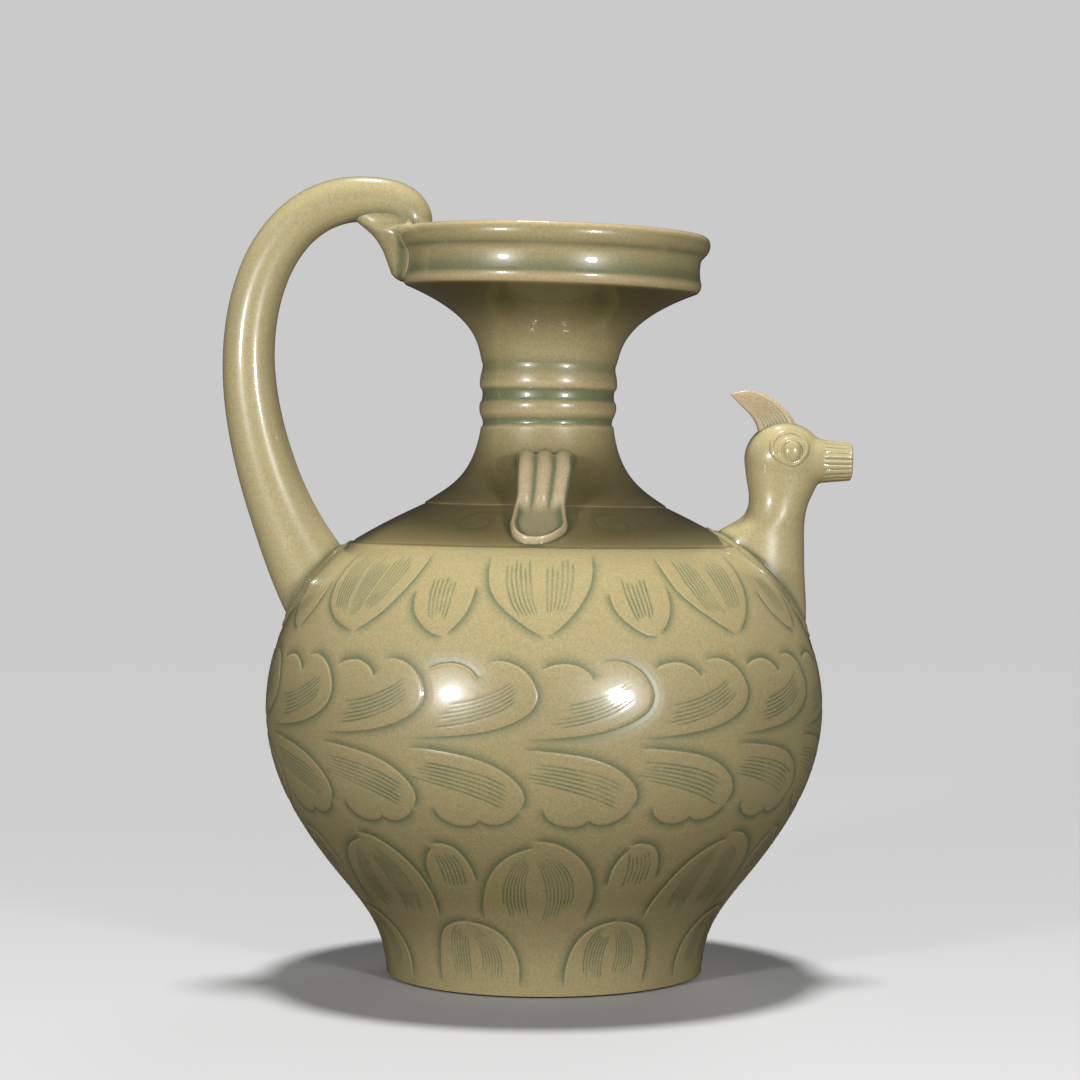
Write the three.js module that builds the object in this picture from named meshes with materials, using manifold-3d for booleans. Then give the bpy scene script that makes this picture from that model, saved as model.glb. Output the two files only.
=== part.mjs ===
// Chicken-head ewer in celadon stoneware, made of the clay members that were luted together.
// Millimetres, +Z up, spout towards +X, handle towards -X. The origin is the centre of the foot.
import * as THREE from 'three';
import { mergeVertices } from 'three/addons/utils/BufferGeometryUtils.js';
import Module from 'manifold-3d';

const wasm = await Module();
wasm.setup();

// Driving sizes
const clayGap = 0.3; // left between neighbouring clay members
const overrun = 3; // how far a cutter passes the face that it cuts
const weldShare = 0.000001; // of the belly's radius, for joining equal corners

const foot = { radius: 57.2, floor: 7 };
const hip = { radius: 71.5, height: 32.5 };
const belly = { radius: 101.1, height: 97, wall: 5 };
const shoulder = { radius: 71, rise: 58.3, lineRise: 0.5, lineWidth: 1.6 };
const collar = { radius: 43.6, rise: 14.5, bore: 35, edge: 0.8 };
const neck = { radius: 23.7, rise: 28.5, bore: 19.2, ledge: 0.5, barrel: 22.2, ribRise: 0.95, ribInset: 2.3 };
const ribCount = 2;
const dish = {
  radius: 53.2, rise: 27.7, depth: 20.4, ridge: 1.1, ridgeHeight: 4.4, waist: 0.3, wall: 4.2, floor: 4.5,
};
const lip = { bulge: 3, height: 10.9, thickness: 6.2 };
const lean = { start: 100, end: 225, angle: THREE.MathUtils.degToRad(1.85) };

const handle = { outreach: 8.25, thickness: 19.4, overLip: 12.5, apexPast: 11.8, rise: 10.4 };
const clasp = { width: 15, drop: 17.5, depth: 13.5 };
const rootCoil = { radius: 1.8, lift: 0.5 };

const bird = { inset: 12.3, radius: 10.8, footRise: 23, headRise: 91.7 };
const head = { shift: 1.8, length: 29, width: 24.6, depth: 27.8, seatDrop: 15.2 };
const channel = { radius: 4 };
const beak = { length: 24.6, drop: 0.6, rootRadius: 9.6, endRadius: 7, fluteDepth: 0.45 };
const fluteCount = 16;
const crest = { length: 24, thickness: 6.6, fluteDepth: 0.45 };
const crestFlutes = 8;
const eye = { radius: 3.5, rise: 1.9, ahead: 1.9, above: 3, ringRadius: 5.9, ringThickness: 1 };

const lug = { coilRadius: 2.95, pitch: 6.3, skew: 0.8, rise: 16, apex: 44, stand: 48, landing: 50 };
const pad = { radius: 10.2, length: 22, skew: 1.8, along: 59, rim: 3, hollow: 1.2, rimWidth: 3 };

// Levels and places that follow from them
const shoulderHeight = belly.height + shoulder.rise;
const collarHeight = shoulderHeight + collar.rise;
const waistHeight = collarHeight + neck.rise;
const throatHeight = waistHeight + neck.barrel;
const dishHeight = throatHeight + dish.rise;
const lipTop = dishHeight + dish.depth;
const wallRadius = dish.radius + dish.ridge - dish.waist / 2;
const lipRadius = wallRadius + lip.bulge;
const birdFoot = belly.height + bird.footRise;
const headHeight = belly.height + bird.headRise;
const headSeat = headHeight - head.seatDrop;
const beakHeight = headHeight - beak.drop;

// Numbers of facets round each kind of member, and along each stretch
const around = { body: 38, neck: 32, rod: 14, coil: 8, bird: 18, eye: 14, ringTube: 5, pad: 18, bore: 8 };
const stretch = {
  heel: 4, flank: 7, dome: 8, slope: 3, neck: 7, rib: 4, flare: 6, lip: 6, inside: 4,
  handle: 22, lug: 9, channel: 12, head: 12, eye: 8, flute: 3, comb: 5,
};
const rodCrowding = 1.3; // above 1, a rod's rings stand closer towards its far end

// Bends, as shares of the way from a stretch's start to its end
const hipBendShares = [[0.111, 0.419], [0.259, 0.6]];
const flankBendShares = [[0.498, 0.279], [1, 0.585]];
const shoulderBendShares = [[0, 0.36], [0.369, 0.789]];
const slopeBendShares = [[0.33, 0.39], [0.68, 0.72]];
const neckBendShares = [[0.456, 0.215], [0.862, 0.356]];
const flareBendShares = [[0.075, 0.189], [0.003, 0.592]];
const lipShares = [[0, 0], [0.3, 0.17], [0.8, 0.38], [1, 0.58], [0.87, 0.8], [0.43, 0.93], [-0.3, 1]];

const forward = new THREE.Vector3(1, 0, 0);
const sideways = new THREE.Vector3(0, 1, 0);

// Points of an outline in the plane of the axis: radius first, then height
function at(radius, height) {
  return new THREE.Vector2(radius, height);
}

function between(start, end, [across, up]) {
  return at(THREE.MathUtils.lerp(start.x, end.x, across), THREE.MathUtils.lerp(start.y, end.y, up));
}

function bend(start, end, bendShares, count) {
  const [first, second] = bendShares.map((shares) => between(start, end, shares));
  return new THREE.CubicBezierCurve(start, first, second, end).getPoints(count);
}

// Moves an upward outline outwards by a distance, or inwards by a negative one
function offsetOutline(points, distance) {
  return points.map((point, index) => {
    const before = points[Math.max(index - 1, 0)];
    const after = points[Math.min(index + 1, points.length - 1)];
    const along = after.clone().sub(before).normalize();
    return at(point.x + along.y * distance, point.y - along.x * distance);
  });
}

function lowerOutline() {
  const heel = bend(at(foot.radius, 0), at(hip.radius, hip.height), hipBendShares, stretch.heel);
  const widest = at(belly.radius, belly.height);
  const flank = bend(at(hip.radius, hip.height), widest, flankBendShares, stretch.flank);
  return [...heel.slice(0, -1), ...flank];
}

function upperOutline() {
  const start = at(belly.radius, belly.height);
  const turn = at(shoulder.radius, shoulderHeight);
  const end = at(collar.radius, collarHeight);
  const dome = bend(start, turn, shoulderBendShares, stretch.dome);
  const slope = bend(turn, end, slopeBendShares, stretch.slope);
  return [...dome, ...slope.slice(1)];
}

// The turned line on the shoulder: a fine ridge under a fine groove
function lineOnShoulder(outline) {
  const turn = outline.findIndex((point) => point.y > shoulderHeight - shoulder.lineWidth / 2);
  const point = outline[turn];
  const along = outline[turn + 1].clone().sub(outline[turn - 1]).normalize();
  const out = at(along.y, -along.x);
  const step = (share, rise) => point.clone()
    .addScaledVector(along, share * shoulder.lineWidth)
    .addScaledVector(out, rise * shoulder.lineRise);
  const line = [step(-1, 0), step(-0.5, 1), step(0, 0), step(0.5, -1), step(1, 0)];
  return [...outline.slice(0, turn), ...line, ...outline.slice(turn + 1)];
}

function neckOutline() {
  const base = collarHeight + clayGap;
  const edge = at(collar.radius, base + collar.edge);
  const waist = at(neck.radius + neck.ledge, waistHeight);
  return [at(collar.radius, base), ...bend(edge, waist, neckBendShares, stretch.neck), ...ribOutline()];
}

function ribOutline() {
  const steps = ribCount * stretch.rib;
  const length = neck.barrel - neck.ribInset;
  const points = [at(neck.radius, waistHeight + neck.ledge / 2)];
  for (let step = 0; step <= steps; step += 1) {
    const share = step / steps;
    const wave = (1 - Math.cos(2 * Math.PI * ribCount * share)) / 2;
    const radius = neck.radius + neck.ledge * share + neck.ribRise * wave;
    points.push(at(radius, waistHeight + neck.ribInset + length * share));
  }
  return points;
}

function dishOutline() {
  const throat = at(neck.radius + neck.ledge, throatHeight + clayGap);
  const corner = at(dish.radius, dishHeight);
  const flare = bend(throat, corner, flareBendShares, stretch.flare);
  const lipBase = lipTop - lip.height;
  const ridge = [
    at(dish.radius + dish.ridge, dishHeight + dish.ridgeHeight / 3),
    at(wallRadius, dishHeight + dish.ridgeHeight),
    at(wallRadius - dish.waist, lipBase - dish.ridgeHeight / 2),
  ];
  const turn = lipShares.map(([out, up]) => at(wallRadius + lip.bulge * out, lipBase + lip.height * up));
  return [...flare, ...ridge, ...new THREE.SplineCurve(turn).getPoints(stretch.lip)];
}

function dishInside() {
  const innerRadius = lipRadius - lip.thickness;
  const floorHeight = dishHeight + dish.floor;
  const floorEdge = at(innerRadius - dish.wall, floorHeight);
  const throat = at(neck.bore, throatHeight + clayGap);
  return [
    at(innerRadius, lipTop - lip.bulge / 2),
    at(innerRadius - lip.bulge / 3, floorHeight + dish.wall),
    at(innerRadius - dish.wall / 2, floorHeight + dish.wall / 3),
    ...bend(throat, floorEdge, flareBendShares, stretch.inside).reverse(),
  ];
}

const lowerSkin = lowerOutline();
const upperSkin = upperOutline();
const linedSkin = lineOnShoulder(upperSkin);
const neckSkin = neckOutline();
const dishSkin = dishOutline();

// The bird stands inside the body's skin at its foot
const birdReach = bodyRadiusAt(birdFoot) - bird.inset;
const headReach = birdReach + head.shift;

// Closed skins and solids
function closedSkin(vertices, triangles) {
  const geometry = new THREE.BufferGeometry();
  const places = vertices.flatMap((vertex) => vertex.toArray());
  geometry.setAttribute('position', new THREE.Float32BufferAttribute(places, 3));
  geometry.setIndex(triangles.flat());
  return geometry;
}

function signedVolume(positions, triangles) {
  const corner = (index) => new THREE.Vector3().fromArray(positions, index * 3);
  return triangles.reduce((sum, [a, b, c]) => sum + corner(a).dot(corner(b).cross(corner(c))), 0);
}

function solidFrom(geometry) {
  const bare = geometry.clone();
  bare.deleteAttribute('normal');
  bare.deleteAttribute('uv');
  const merged = mergeVertices(bare, belly.radius * weldShare);
  const positions = merged.attributes.position.array;
  const index = Array.from(merged.index.array);
  const all = Array.from({ length: index.length / 3 }, (_, face) => index.slice(face * 3, face * 3 + 3));
  const real = all.filter(([a, b, c]) => a !== b && b !== c && c !== a);
  const outward = signedVolume(positions, real) > 0 ? real : real.map(([a, b, c]) => [a, c, b]);
  return new wasm.Manifold(new wasm.Mesh({
    numProp: 3,
    vertProperties: Float32Array.from(positions),
    triVerts: Uint32Array.from(outward.flat()),
  }));
}

// A turned solid round +Z; a profile that is off the axis is closed on itself
function revolve(profile, steps) {
  const onAxis = profile[0].x === 0;
  const outline = onAxis ? profile : [...profile, profile[0]];
  return solidFrom(new THREE.LatheGeometry(outline, steps).rotateX(Math.PI / 2));
}

// A solid plug with the given skin, filled to the axis
function plug(skin, steps) {
  const bottom = at(0, skin[0].y);
  const top = at(0, skin[skin.length - 1].y);
  return revolve([bottom, ...skin, top], steps);
}

// A skin through rings of equally many points, with a fan at each end unless it is a closed loop
function loft(rings, isLoop = false) {
  const count = rings[0].length;
  const vertices = rings.flat();
  const triangles = [];
  const spans = isLoop ? rings.length : rings.length - 1;
  for (let ring = 0; ring < spans; ring += 1) {
    const near = ring * count;
    const far = ((ring + 1) % rings.length) * count;
    for (let point = 0; point < count; point += 1) {
      const next = (point + 1) % count;
      triangles.push([near + point, near + next, far + next], [near + point, far + next, far + point]);
    }
  }
  if (!isLoop) {
    closeEnd(vertices, triangles, 0, count, true);
    closeEnd(vertices, triangles, (rings.length - 1) * count, count, false);
  }
  return solidFrom(closedSkin(vertices, triangles));
}

function closeEnd(vertices, triangles, first, count, isStart) {
  const centre = new THREE.Vector3();
  for (let point = 0; point < count; point += 1) {
    centre.addScaledVector(vertices[first + point], 1 / count);
  }
  vertices.push(centre);
  const hub = vertices.length - 1;
  for (let point = 0; point < count; point += 1) {
    const next = first + ((point + 1) % count);
    triangles.push(isStart ? [hub, next, first + point] : [hub, first + point, next]);
  }
}

// An oval ring round a centre, along two directions
function ovalRing(centre, across, up, halfWidth, halfHeight, steps) {
  return Array.from({ length: steps }, (_, step) => {
    const angle = (2 * Math.PI * step) / steps;
    return centre.clone()
      .addScaledVector(across, halfWidth * Math.cos(angle))
      .addScaledVector(up, halfHeight * Math.sin(angle));
  });
}

// Reads a value from a table of [place, value] shares
function readShares(table, place) {
  const last = table.findIndex(([share]) => share >= place);
  if (last <= 0) {
    return last === 0 ? table[0][1] : table[table.length - 1][1];
  }
  const [startPlace, startValue] = table[last - 1];
  const [endPlace, endValue] = table[last];
  return THREE.MathUtils.mapLinear(place, startPlace, endPlace, startValue, endValue);
}

// Rings of a rod whose centre line lies in an upright plane; toWorld turns (radius, height) into space
function rodRings(path, stations, side, toWorld, halfSizes, steps) {
  return Array.from({ length: stations + 1 }, (_, station) => {
    const share = 1 - (1 - station / stations) ** rodCrowding;
    const centre = toWorld(path.getPointAt(share));
    const ahead = toWorld(path.getTangentAt(share));
    const [halfWidth, halfThickness] = halfSizes(share);
    return ovalRing(centre, side, ahead.cross(side), halfWidth, halfThickness, steps);
  });
}

function bentPath(start, ...stretches) {
  const path = new THREE.Path();
  path.moveTo(start.x, start.y);
  let from = start;
  stretches.forEach(({ to, bendShares }) => {
    const [first, second] = bendShares.map((shares) => between(from, to, shares));
    path.bezierCurveTo(first.x, first.y, second.x, second.y, to.x, to.y);
    from = to;
  });
  return path;
}

// Vessel
function bodyRadiusAt(height) {
  return readShares(upperSkin.map((point) => [point.y, point.x]), height);
}

function bodyPlug(growth) {
  return plug(offsetOutline([...lowerSkin, ...linedSkin.slice(1)], growth), around.body);
}

function neckPlug(growth) {
  return plug(offsetOutline(neckSkin, growth), around.neck);
}

function dishPlug(growth) {
  const skin = offsetOutline(dishSkin, growth);
  skin.push(at(skin[skin.length - 1].x, lipTop + growth));
  return plug(skin, around.body);
}

// The wall's inner side, with every other point of the outline
function innerSkin(skin) {
  return offsetOutline(skin, -belly.wall).filter((point, index) => (skin.length - 1 - index) % 2 === 0);
}

function lowerBody() {
  const inside = innerSkin(lowerSkin).filter((point) => point.y > foot.floor);
  const floorEdge = at(inside[0].x - belly.wall / 2, foot.floor);
  const rim = at(belly.radius - belly.wall, belly.height);
  const wall = [...lowerSkin, rim, ...inside.slice(0, -1).reverse(), floorEdge];
  return revolve([at(0, 0), ...wall, at(0, foot.floor)], around.body);
}

function upperBody() {
  const inside = innerSkin(upperSkin).slice(1);
  const rim = at(belly.radius - belly.wall, belly.height);
  const under = at(collar.bore, inside[inside.length - 1].y);
  const opening = at(collar.bore, collarHeight);
  const profile = [rim, ...linedSkin, opening, under, ...inside.reverse()];
  return revolve(profile, around.body).subtract(channelSolid());
}

function neckShell() {
  const base = at(collar.bore, collarHeight + clayGap);
  const inside = bend(base, at(neck.bore, waistHeight), neckBendShares, stretch.inside);
  return revolve([...neckSkin, at(neck.bore, throatHeight), ...inside.reverse()], around.neck);
}

function dishMouth() {
  return revolve([...dishSkin, ...dishInside()], around.body);
}

// Handle
const handleStartShares = [0.747, 0.57]; // of the belly's radius and of the shoulder's rise
const handleSideShare = 0.617; // of the way up where the handle stands upright
const handleRiseShares = [[0.573, 0.286], [1, 0.683]];
const handleArchShares = [[0, 0.58], [0.386, 1]];
const handleNoseShares = [[0.75, 0], [1, 0.25]];
const handleGirthShares = [
  [0, 1.78], [0.07, 1.58], [0.2, 1.22], [0.35, 1.08], [0.5, 1], [0.7, 0.97], [0.86, 0.86], [1, 0.82],
];
const handleWidthShares = [[0, 1.35], [0.07, 1.28], [0.2, 1.12], [0.5, 1.02], [0.86, 0.95], [1, 0.84]];
const noseGirthShare = 0.82;

function handlePath() {
  const top = lipTop + handle.rise;
  const reach = belly.radius + handle.outreach;
  const [startShare, riseShare] = handleStartShares;
  const start = at(belly.radius * startShare, belly.height + shoulder.rise * riseShare);
  const side = at(reach, THREE.MathUtils.lerp(start.y, top, handleSideShare));
  const apex = at(lipRadius + handle.apexPast, top);
  const nose = at(lipRadius - handle.overLip + (noseGirthShare * handle.thickness) / 2, lipTop - lip.bulge);
  return bentPath(
    start,
    { to: side, bendShares: handleRiseShares },
    { to: apex, bendShares: handleArchShares },
    { to: nose, bendShares: handleNoseShares },
  );
}

const towardsHandle = (point) => new THREE.Vector3(-point.x, 0, point.y);

function handleRings(growth) {
  const halfSizes = (share) => [handleWidthShares, handleGirthShares]
    .map((table) => (handle.thickness * readShares(table, share)) / 2 + growth);
  return rodRings(handlePath(), stretch.handle, sideways, towardsHandle, halfSizes, around.rod);
}

function handleSolid() {
  return loft(handleRings(0)).subtract(bodyPlug(clayGap)).subtract(dishPlug(clayGap));
}

// The wedge that grips the dish: shares of its drop, of its depth outside the dish and of its width
const claspShares = [
  [-0.25, 1.3, 1], [0.02, 1, 1], [0.25, 0.66, 0.8], [0.55, 0.44, 0.55], [0.85, 0.28, 0.35], [1, 0.1, 0.2],
];

function claspSolid() {
  const rings = claspShares.map(([down, out, wide]) => {
    const height = lipTop - clasp.drop * down;
    const outer = lipRadius - lip.bulge / 2 + clasp.depth * out - (lip.bulge / 2) * down;
    const inner = lipRadius - lip.thickness;
    const centre = new THREE.Vector3(-(outer + inner) / 2, 0, height);
    return ovalRing(centre, forward, sideways, (outer - inner) / 2, (clasp.width * wide) / 2, around.rod);
  });
  return loft(rings).subtract(loft(handleRings(clayGap))).subtract(dishPlug(clayGap));
}

// Joint coils: the line where a member's skin leaves the body, found along each of its long edges
function depthInBody(point) {
  return bodyRadiusAt(point.z) - Math.hypot(point.x, point.y);
}

function seamPoint(rings, edge) {
  const last = rings.findIndex((ring) => depthInBody(ring[edge]) < 0);
  const inner = rings[last - 1][edge];
  const outer = rings[last][edge];
  const share = depthInBody(inner) / (depthInBody(inner) - depthInBody(outer));
  return inner.clone().lerp(outer, share);
}

function bodyNormal(point) {
  const step = rootCoil.radius;
  const slope = (bodyRadiusAt(point.z + step) - bodyRadiusAt(point.z - step)) / (2 * step);
  const radial = Math.hypot(point.x, point.y);
  return new THREE.Vector3(point.x / radial, point.y / radial, -slope).normalize();
}

function rootCoilSolid(rings, member) {
  const seam = rings[0].map((_, edge) => seamPoint(rings, edge));
  const loops = seam.map((point, index) => {
    const before = seam[(index + seam.length - 1) % seam.length];
    const after = seam[(index + 1) % seam.length];
    const along = after.clone().sub(before).normalize();
    const normal = bodyNormal(point);
    const centre = point.clone().addScaledVector(normal, rootCoil.lift);
    return ovalRing(centre, normal, along.cross(normal), rootCoil.radius, rootCoil.radius, around.coil);
  });
  return loft(loops, true).subtract(member).subtract(bodyPlug(clayGap));
}

// Bird: levels of its neck as shares of the way up, of the front, the back and the half width
const birdShares = [
  [0, 0.95, 2.1, 1.25], [0.19, 1, 2.1, 1.24], [0.29, 0.97, 2.1, 1.22], [0.466, 0.935, 2.2, 1.15],
  [0.59, 0.917, 2.25, 1.1], [0.614, 0.917, 1.93, 1.08], [0.636, 0.918, 1.6, 1.06], [0.67, 0.926, 1.23, 1.03],
  [0.728, 0.97, 1.04, 1], [0.786, 1.06, 0.99, 1.01], [0.844, 1.34, 1.04, 1.04], [0.888, 1.5, 1.08, 1.06],
  [1, 1.5, 1.1, 1.06],
];

function birdRings(growth) {
  return birdShares.map(([up, front, back, wide]) => {
    const height = THREE.MathUtils.lerp(birdFoot, headHeight, up);
    const middle = birdReach + (bird.radius * (front - back)) / 2;
    const half = (bird.radius * (front + back)) / 2 + growth;
    const centre = new THREE.Vector3(middle, 0, height);
    return ovalRing(centre, forward, sideways, half, bird.radius * wide + growth, around.bird);
  });
}

function headBall(growth) {
  const ball = new THREE.SphereGeometry(1, around.bird, stretch.head).rotateX(Math.PI / 2);
  ball.scale(head.length / 2 + growth, head.width / 2 + growth, head.depth / 2 + growth);
  ball.translate(headReach, 0, headHeight);
  return solidFrom(ball);
}

function birdSolid(growth) {
  return loft(birdRings(growth)).add(headBall(growth));
}

function channelSolid() {
  const inside = shoulder.radius - belly.wall;
  const line = new THREE.CatmullRomCurve3([
    new THREE.Vector3(inside, 0, shoulderHeight - shoulder.radius / 4),
    new THREE.Vector3(birdReach - bird.radius / 3, 0, shoulderHeight),
    new THREE.Vector3(birdReach, 0, THREE.MathUtils.lerp(shoulderHeight, headHeight, 0.5)),
    new THREE.Vector3(headReach + channel.radius, 0, beakHeight - channel.radius),
    new THREE.Vector3(headReach + beak.length / 2, 0, beakHeight),
    new THREE.Vector3(headReach + beak.length + overrun, 0, beakHeight),
  ]);
  const bore = new THREE.Shape().absarc(0, 0, channel.radius, 0, 2 * Math.PI);
  const tube = { extrudePath: line, steps: stretch.channel, curveSegments: around.bore };
  return solidFrom(new THREE.ExtrudeGeometry(bore, tube));
}

// Everything above a level, as a block that spans the bird
function blockAbove(level) {
  const size = 4 * head.length;
  return solidFrom(new THREE.BoxGeometry(size, size, size).translate(birdReach, 0, level + size / 2));
}

function spoutNeck() {
  return birdSolid(0).subtract(blockAbove(headSeat)).subtract(bodyPlug(clayGap)).subtract(channelSolid());
}

function spoutHead() {
  return birdSolid(0).intersect(blockAbove(headSeat + clayGap)).subtract(channelSolid());
}

// The beak is a fluted tube that narrows towards its open end
const beakRingShares = [0.3, 0.65, 0.97, 1];

function beakSolid() {
  const steps = fluteCount * stretch.flute;
  const rings = beakRingShares.map((share) => {
    const rounding = share === 1 ? beak.fluteDepth : 0;
    const radius = THREE.MathUtils.lerp(beak.rootRadius, beak.endRadius, share) - rounding;
    return Array.from({ length: steps }, (_, step) => {
      const angle = (2 * Math.PI * step) / steps;
      const ridge = radius + beak.fluteDepth * Math.cos(fluteCount * angle);
      const reach = headReach + beak.length * share;
      return new THREE.Vector3(reach, ridge * Math.cos(angle), beakHeight + ridge * Math.sin(angle));
    });
  });
  return loft(rings).subtract(birdSolid(clayGap)).subtract(channelSolid());
}

// The comb: its rear and front edges, as shares of its length back from and above the head's middle
const combRearShares = [[0.37, 0.25], [0.43, 0.5], [0.52, 0.66], [0.66, 0.795], [0.84, 0.975]];
const combFrontShares = [[-0.2, 0.45], [-0.05, 0.72], [0.25, 0.96], [0.55, 1.045], [0.83, 0.99]];
const combThickShares = [1, 0.92, 0.75, 0.52, 0.22];

function crestSolid() {
  const middle = new THREE.Vector3(headReach, 0, headHeight);
  const place = ([back, up]) => new THREE.Vector3(-back, 0, up).multiplyScalar(crest.length).add(middle);
  const edge = (shares) => new THREE.CatmullRomCurve3(shares.map(place)).getPoints(stretch.comb);
  const front = edge(combFrontShares);
  const thicknesses = combThickShares.map((share, index) => [index / (combThickShares.length - 1), share]);
  const steps = crestFlutes * stretch.flute;
  const rings = edge(combRearShares).map((rearPoint, station) => {
    const thickness = readShares(thicknesses, station / stretch.comb);
    const side = (step, sign) => {
      const across = (1 - Math.cos((Math.PI * step) / steps)) / 2;
      const wave = Math.cos(2 * Math.PI * crestFlutes * across) * crest.fluteDepth;
      const swell = (crest.thickness / 2 - crest.fluteDepth) * Math.sqrt(Math.sin((Math.PI * step) / steps));
      const rise = step % steps === 0 ? 0 : sign * thickness * (swell - wave);
      return rearPoint.clone().lerp(front[station], across).setY(rise);
    };
    const near = Array.from({ length: steps }, (_, step) => side(step, 1));
    const far = Array.from({ length: steps }, (_, step) => side(steps - step, -1));
    return [...near, ...far];
  });
  return loft(rings).subtract(birdSolid(clayGap));
}

// Eyes on both cheeks; sign is -1 on the side of the first lug
function cheekPoint(sign) {
  const ahead = eye.ahead / (head.length / 2);
  const above = eye.above / (head.depth / 2);
  const out = (head.width / 2) * Math.sqrt(1 - ahead ** 2 - above ** 2);
  return new THREE.Vector3(headReach + eye.ahead, sign * out, headHeight + eye.above);
}

function eyeSolid(sign) {
  const pellet = new THREE.SphereGeometry(1, around.eye, stretch.eye).scale(eye.radius, eye.rise, eye.radius);
  const place = cheekPoint(sign);
  return solidFrom(pellet.translate(place.x, place.y, place.z)).subtract(birdSolid(clayGap));
}

function eyeRingSolid(sign) {
  const ring = new THREE.TorusGeometry(eye.ringRadius, eye.ringThickness, around.ringTube, around.bird);
  const place = cheekPoint(sign);
  const tilt = (sign * eye.above) / (head.depth / 2);
  ring.rotateX(Math.PI / 2 + tilt).translate(place.x, place.y, place.z);
  return solidFrom(ring).subtract(birdSolid(clayGap));
}

// Lugs: three coils that arch from the neck to a pressed pad; side is -1 in front and 1 behind
function toSide(side) {
  return (point) => new THREE.Vector3(0, side * point.x, point.y);
}

const lugRiseShares = [[0.45, 0.9], [0.75, 1]];
const lugTurnShares = [[0.7, 0.02], [0.9, 0.4]];
const lugDropShares = [[0.3, 0.35], [0.6, 0.7]];

function lugPath() {
  const start = at(neck.bore + lug.coilRadius, collarHeight + lug.rise - lug.coilRadius / 2);
  const apex = at((lug.apex + collar.bore) / 2, collarHeight + lug.rise);
  const stand = at(lug.stand, collarHeight + lug.rise / 3);
  const landing = at(lug.landing, collarHeight - lug.coilRadius);
  return bentPath(
    start,
    { to: apex, bendShares: lugRiseShares },
    { to: stand, bendShares: lugTurnShares },
    { to: landing, bendShares: lugDropShares },
  );
}

function lugCoil(side, index) {
  const shift = (index - 1) * lug.pitch - lug.skew;
  const halfSizes = () => [lug.coilRadius, lug.coilRadius];
  const rings = rodRings(lugPath(), stretch.lug, forward, toSide(side), halfSizes, around.coil);
  rings.flat().forEach((point) => point.add(new THREE.Vector3(shift, 0, 0)));
  const coil = loft(rings).subtract(neckPlug(clayGap)).subtract(bodyPlug(clayGap));
  return coil.subtract(padShape(side, clayGap));
}

function padShape(side, growth) {
  const radius = pad.radius + growth;
  const profile = [
    at(0, -pad.rim),
    at(radius, -pad.rim),
    at(radius, pad.rim / 3),
    at(radius - pad.rimWidth / 6, (pad.rim * 5) / 6 + growth),
    at(radius - pad.rimWidth / 2, pad.rim + growth),
    at(radius - pad.rimWidth, (pad.rim * 5) / 6 + growth),
    at(radius - 2 * pad.rimWidth, pad.hollow + growth),
    at(0, pad.hollow + growth),
  ];
  const centre = new THREE.Vector3(-pad.skew, side * pad.along, shoulderHeightAt(pad.along));
  const drop = shoulderHeightAt(pad.along - pad.rim) - shoulderHeightAt(pad.along + pad.rim);
  const tilt = -side * Math.atan2(drop, 2 * pad.rim);
  const geometry = new THREE.LatheGeometry(profile, around.pad).rotateX(Math.PI / 2);
  geometry.scale(1, pad.length / 2 / pad.radius, 1).rotateX(tilt).translate(centre.x, centre.y, centre.z);
  return solidFrom(geometry);
}

function shoulderHeightAt(radius) {
  const skin = upperSkin.map((point) => [-point.x, point.y]);
  return readShares(skin, -radius);
}

function padSolid(side) {
  return padShape(side, 0).subtract(bodyPlug(clayGap));
}

// The vessel leaned a little towards the spout in the kiln, more the higher up it stands
function leaned(point) {
  const share = THREE.MathUtils.clamp((point.z - lean.start) / (lean.end - lean.start), 0, 1);
  const steepness = Math.tan(lean.angle);
  const slope = steepness * share ** 2 * (3 - 2 * share);
  const bendDrift = steepness * (lean.end - lean.start) * (share ** 3 - share ** 4 / 2);
  const straightDrift = steepness * Math.max(point.z - lean.end, 0);
  return new THREE.Vector3(point.x + bendDrift + straightDrift, point.y, point.z - point.x * slope);
}

// Glazes
const glazes = {
  sage: { color: '#8f8f63', roughness: 0.16, metalness: 0 },
  pale: { color: '#aba877', roughness: 0.18, metalness: 0 },
  thin: { color: '#b39a77', roughness: 0.26, metalness: 0 },
};

const ewer = new THREE.Group();
ewer.name = 'chicken_head_ewer';

function addMember(name, solid, glaze) {
  const { vertProperties, triVerts } = solid.getMesh();
  const geometry = new THREE.BufferGeometry();
  const positions = Array.from({ length: vertProperties.length / 3 }, (_, index) => (
    leaned(new THREE.Vector3().fromArray(vertProperties, index * 3)).toArray()
  ));
  geometry.setAttribute('position', new THREE.Float32BufferAttribute(positions.flat(), 3));
  geometry.setIndex(Array.from(triVerts));
  geometry.computeVertexNormals();
  const member = new THREE.Mesh(geometry, new THREE.MeshStandardMaterial(glazes[glaze]));
  member.name = name;
  ewer.add(member);
}

addMember('lower_body', lowerBody(), 'sage');
addMember('upper_body', upperBody(), 'sage');
addMember('neck', neckShell(), 'sage');
addMember('dish_mouth', dishMouth(), 'sage');
addMember('handle', handleSolid(), 'pale');
addMember('handle_clasp', claspSolid(), 'pale');
addMember('handle_root_coil', rootCoilSolid(handleRings(0), loft(handleRings(clayGap))), 'pale');
addMember('spout_neck', spoutNeck(), 'pale');
addMember('spout_head', spoutHead(), 'pale');
addMember('spout_beak', beakSolid(), 'pale');
addMember('spout_crest', crestSolid(), 'thin');
addMember('spout_root_coil', rootCoilSolid(birdRings(0), birdSolid(clayGap)), 'thin');

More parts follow.
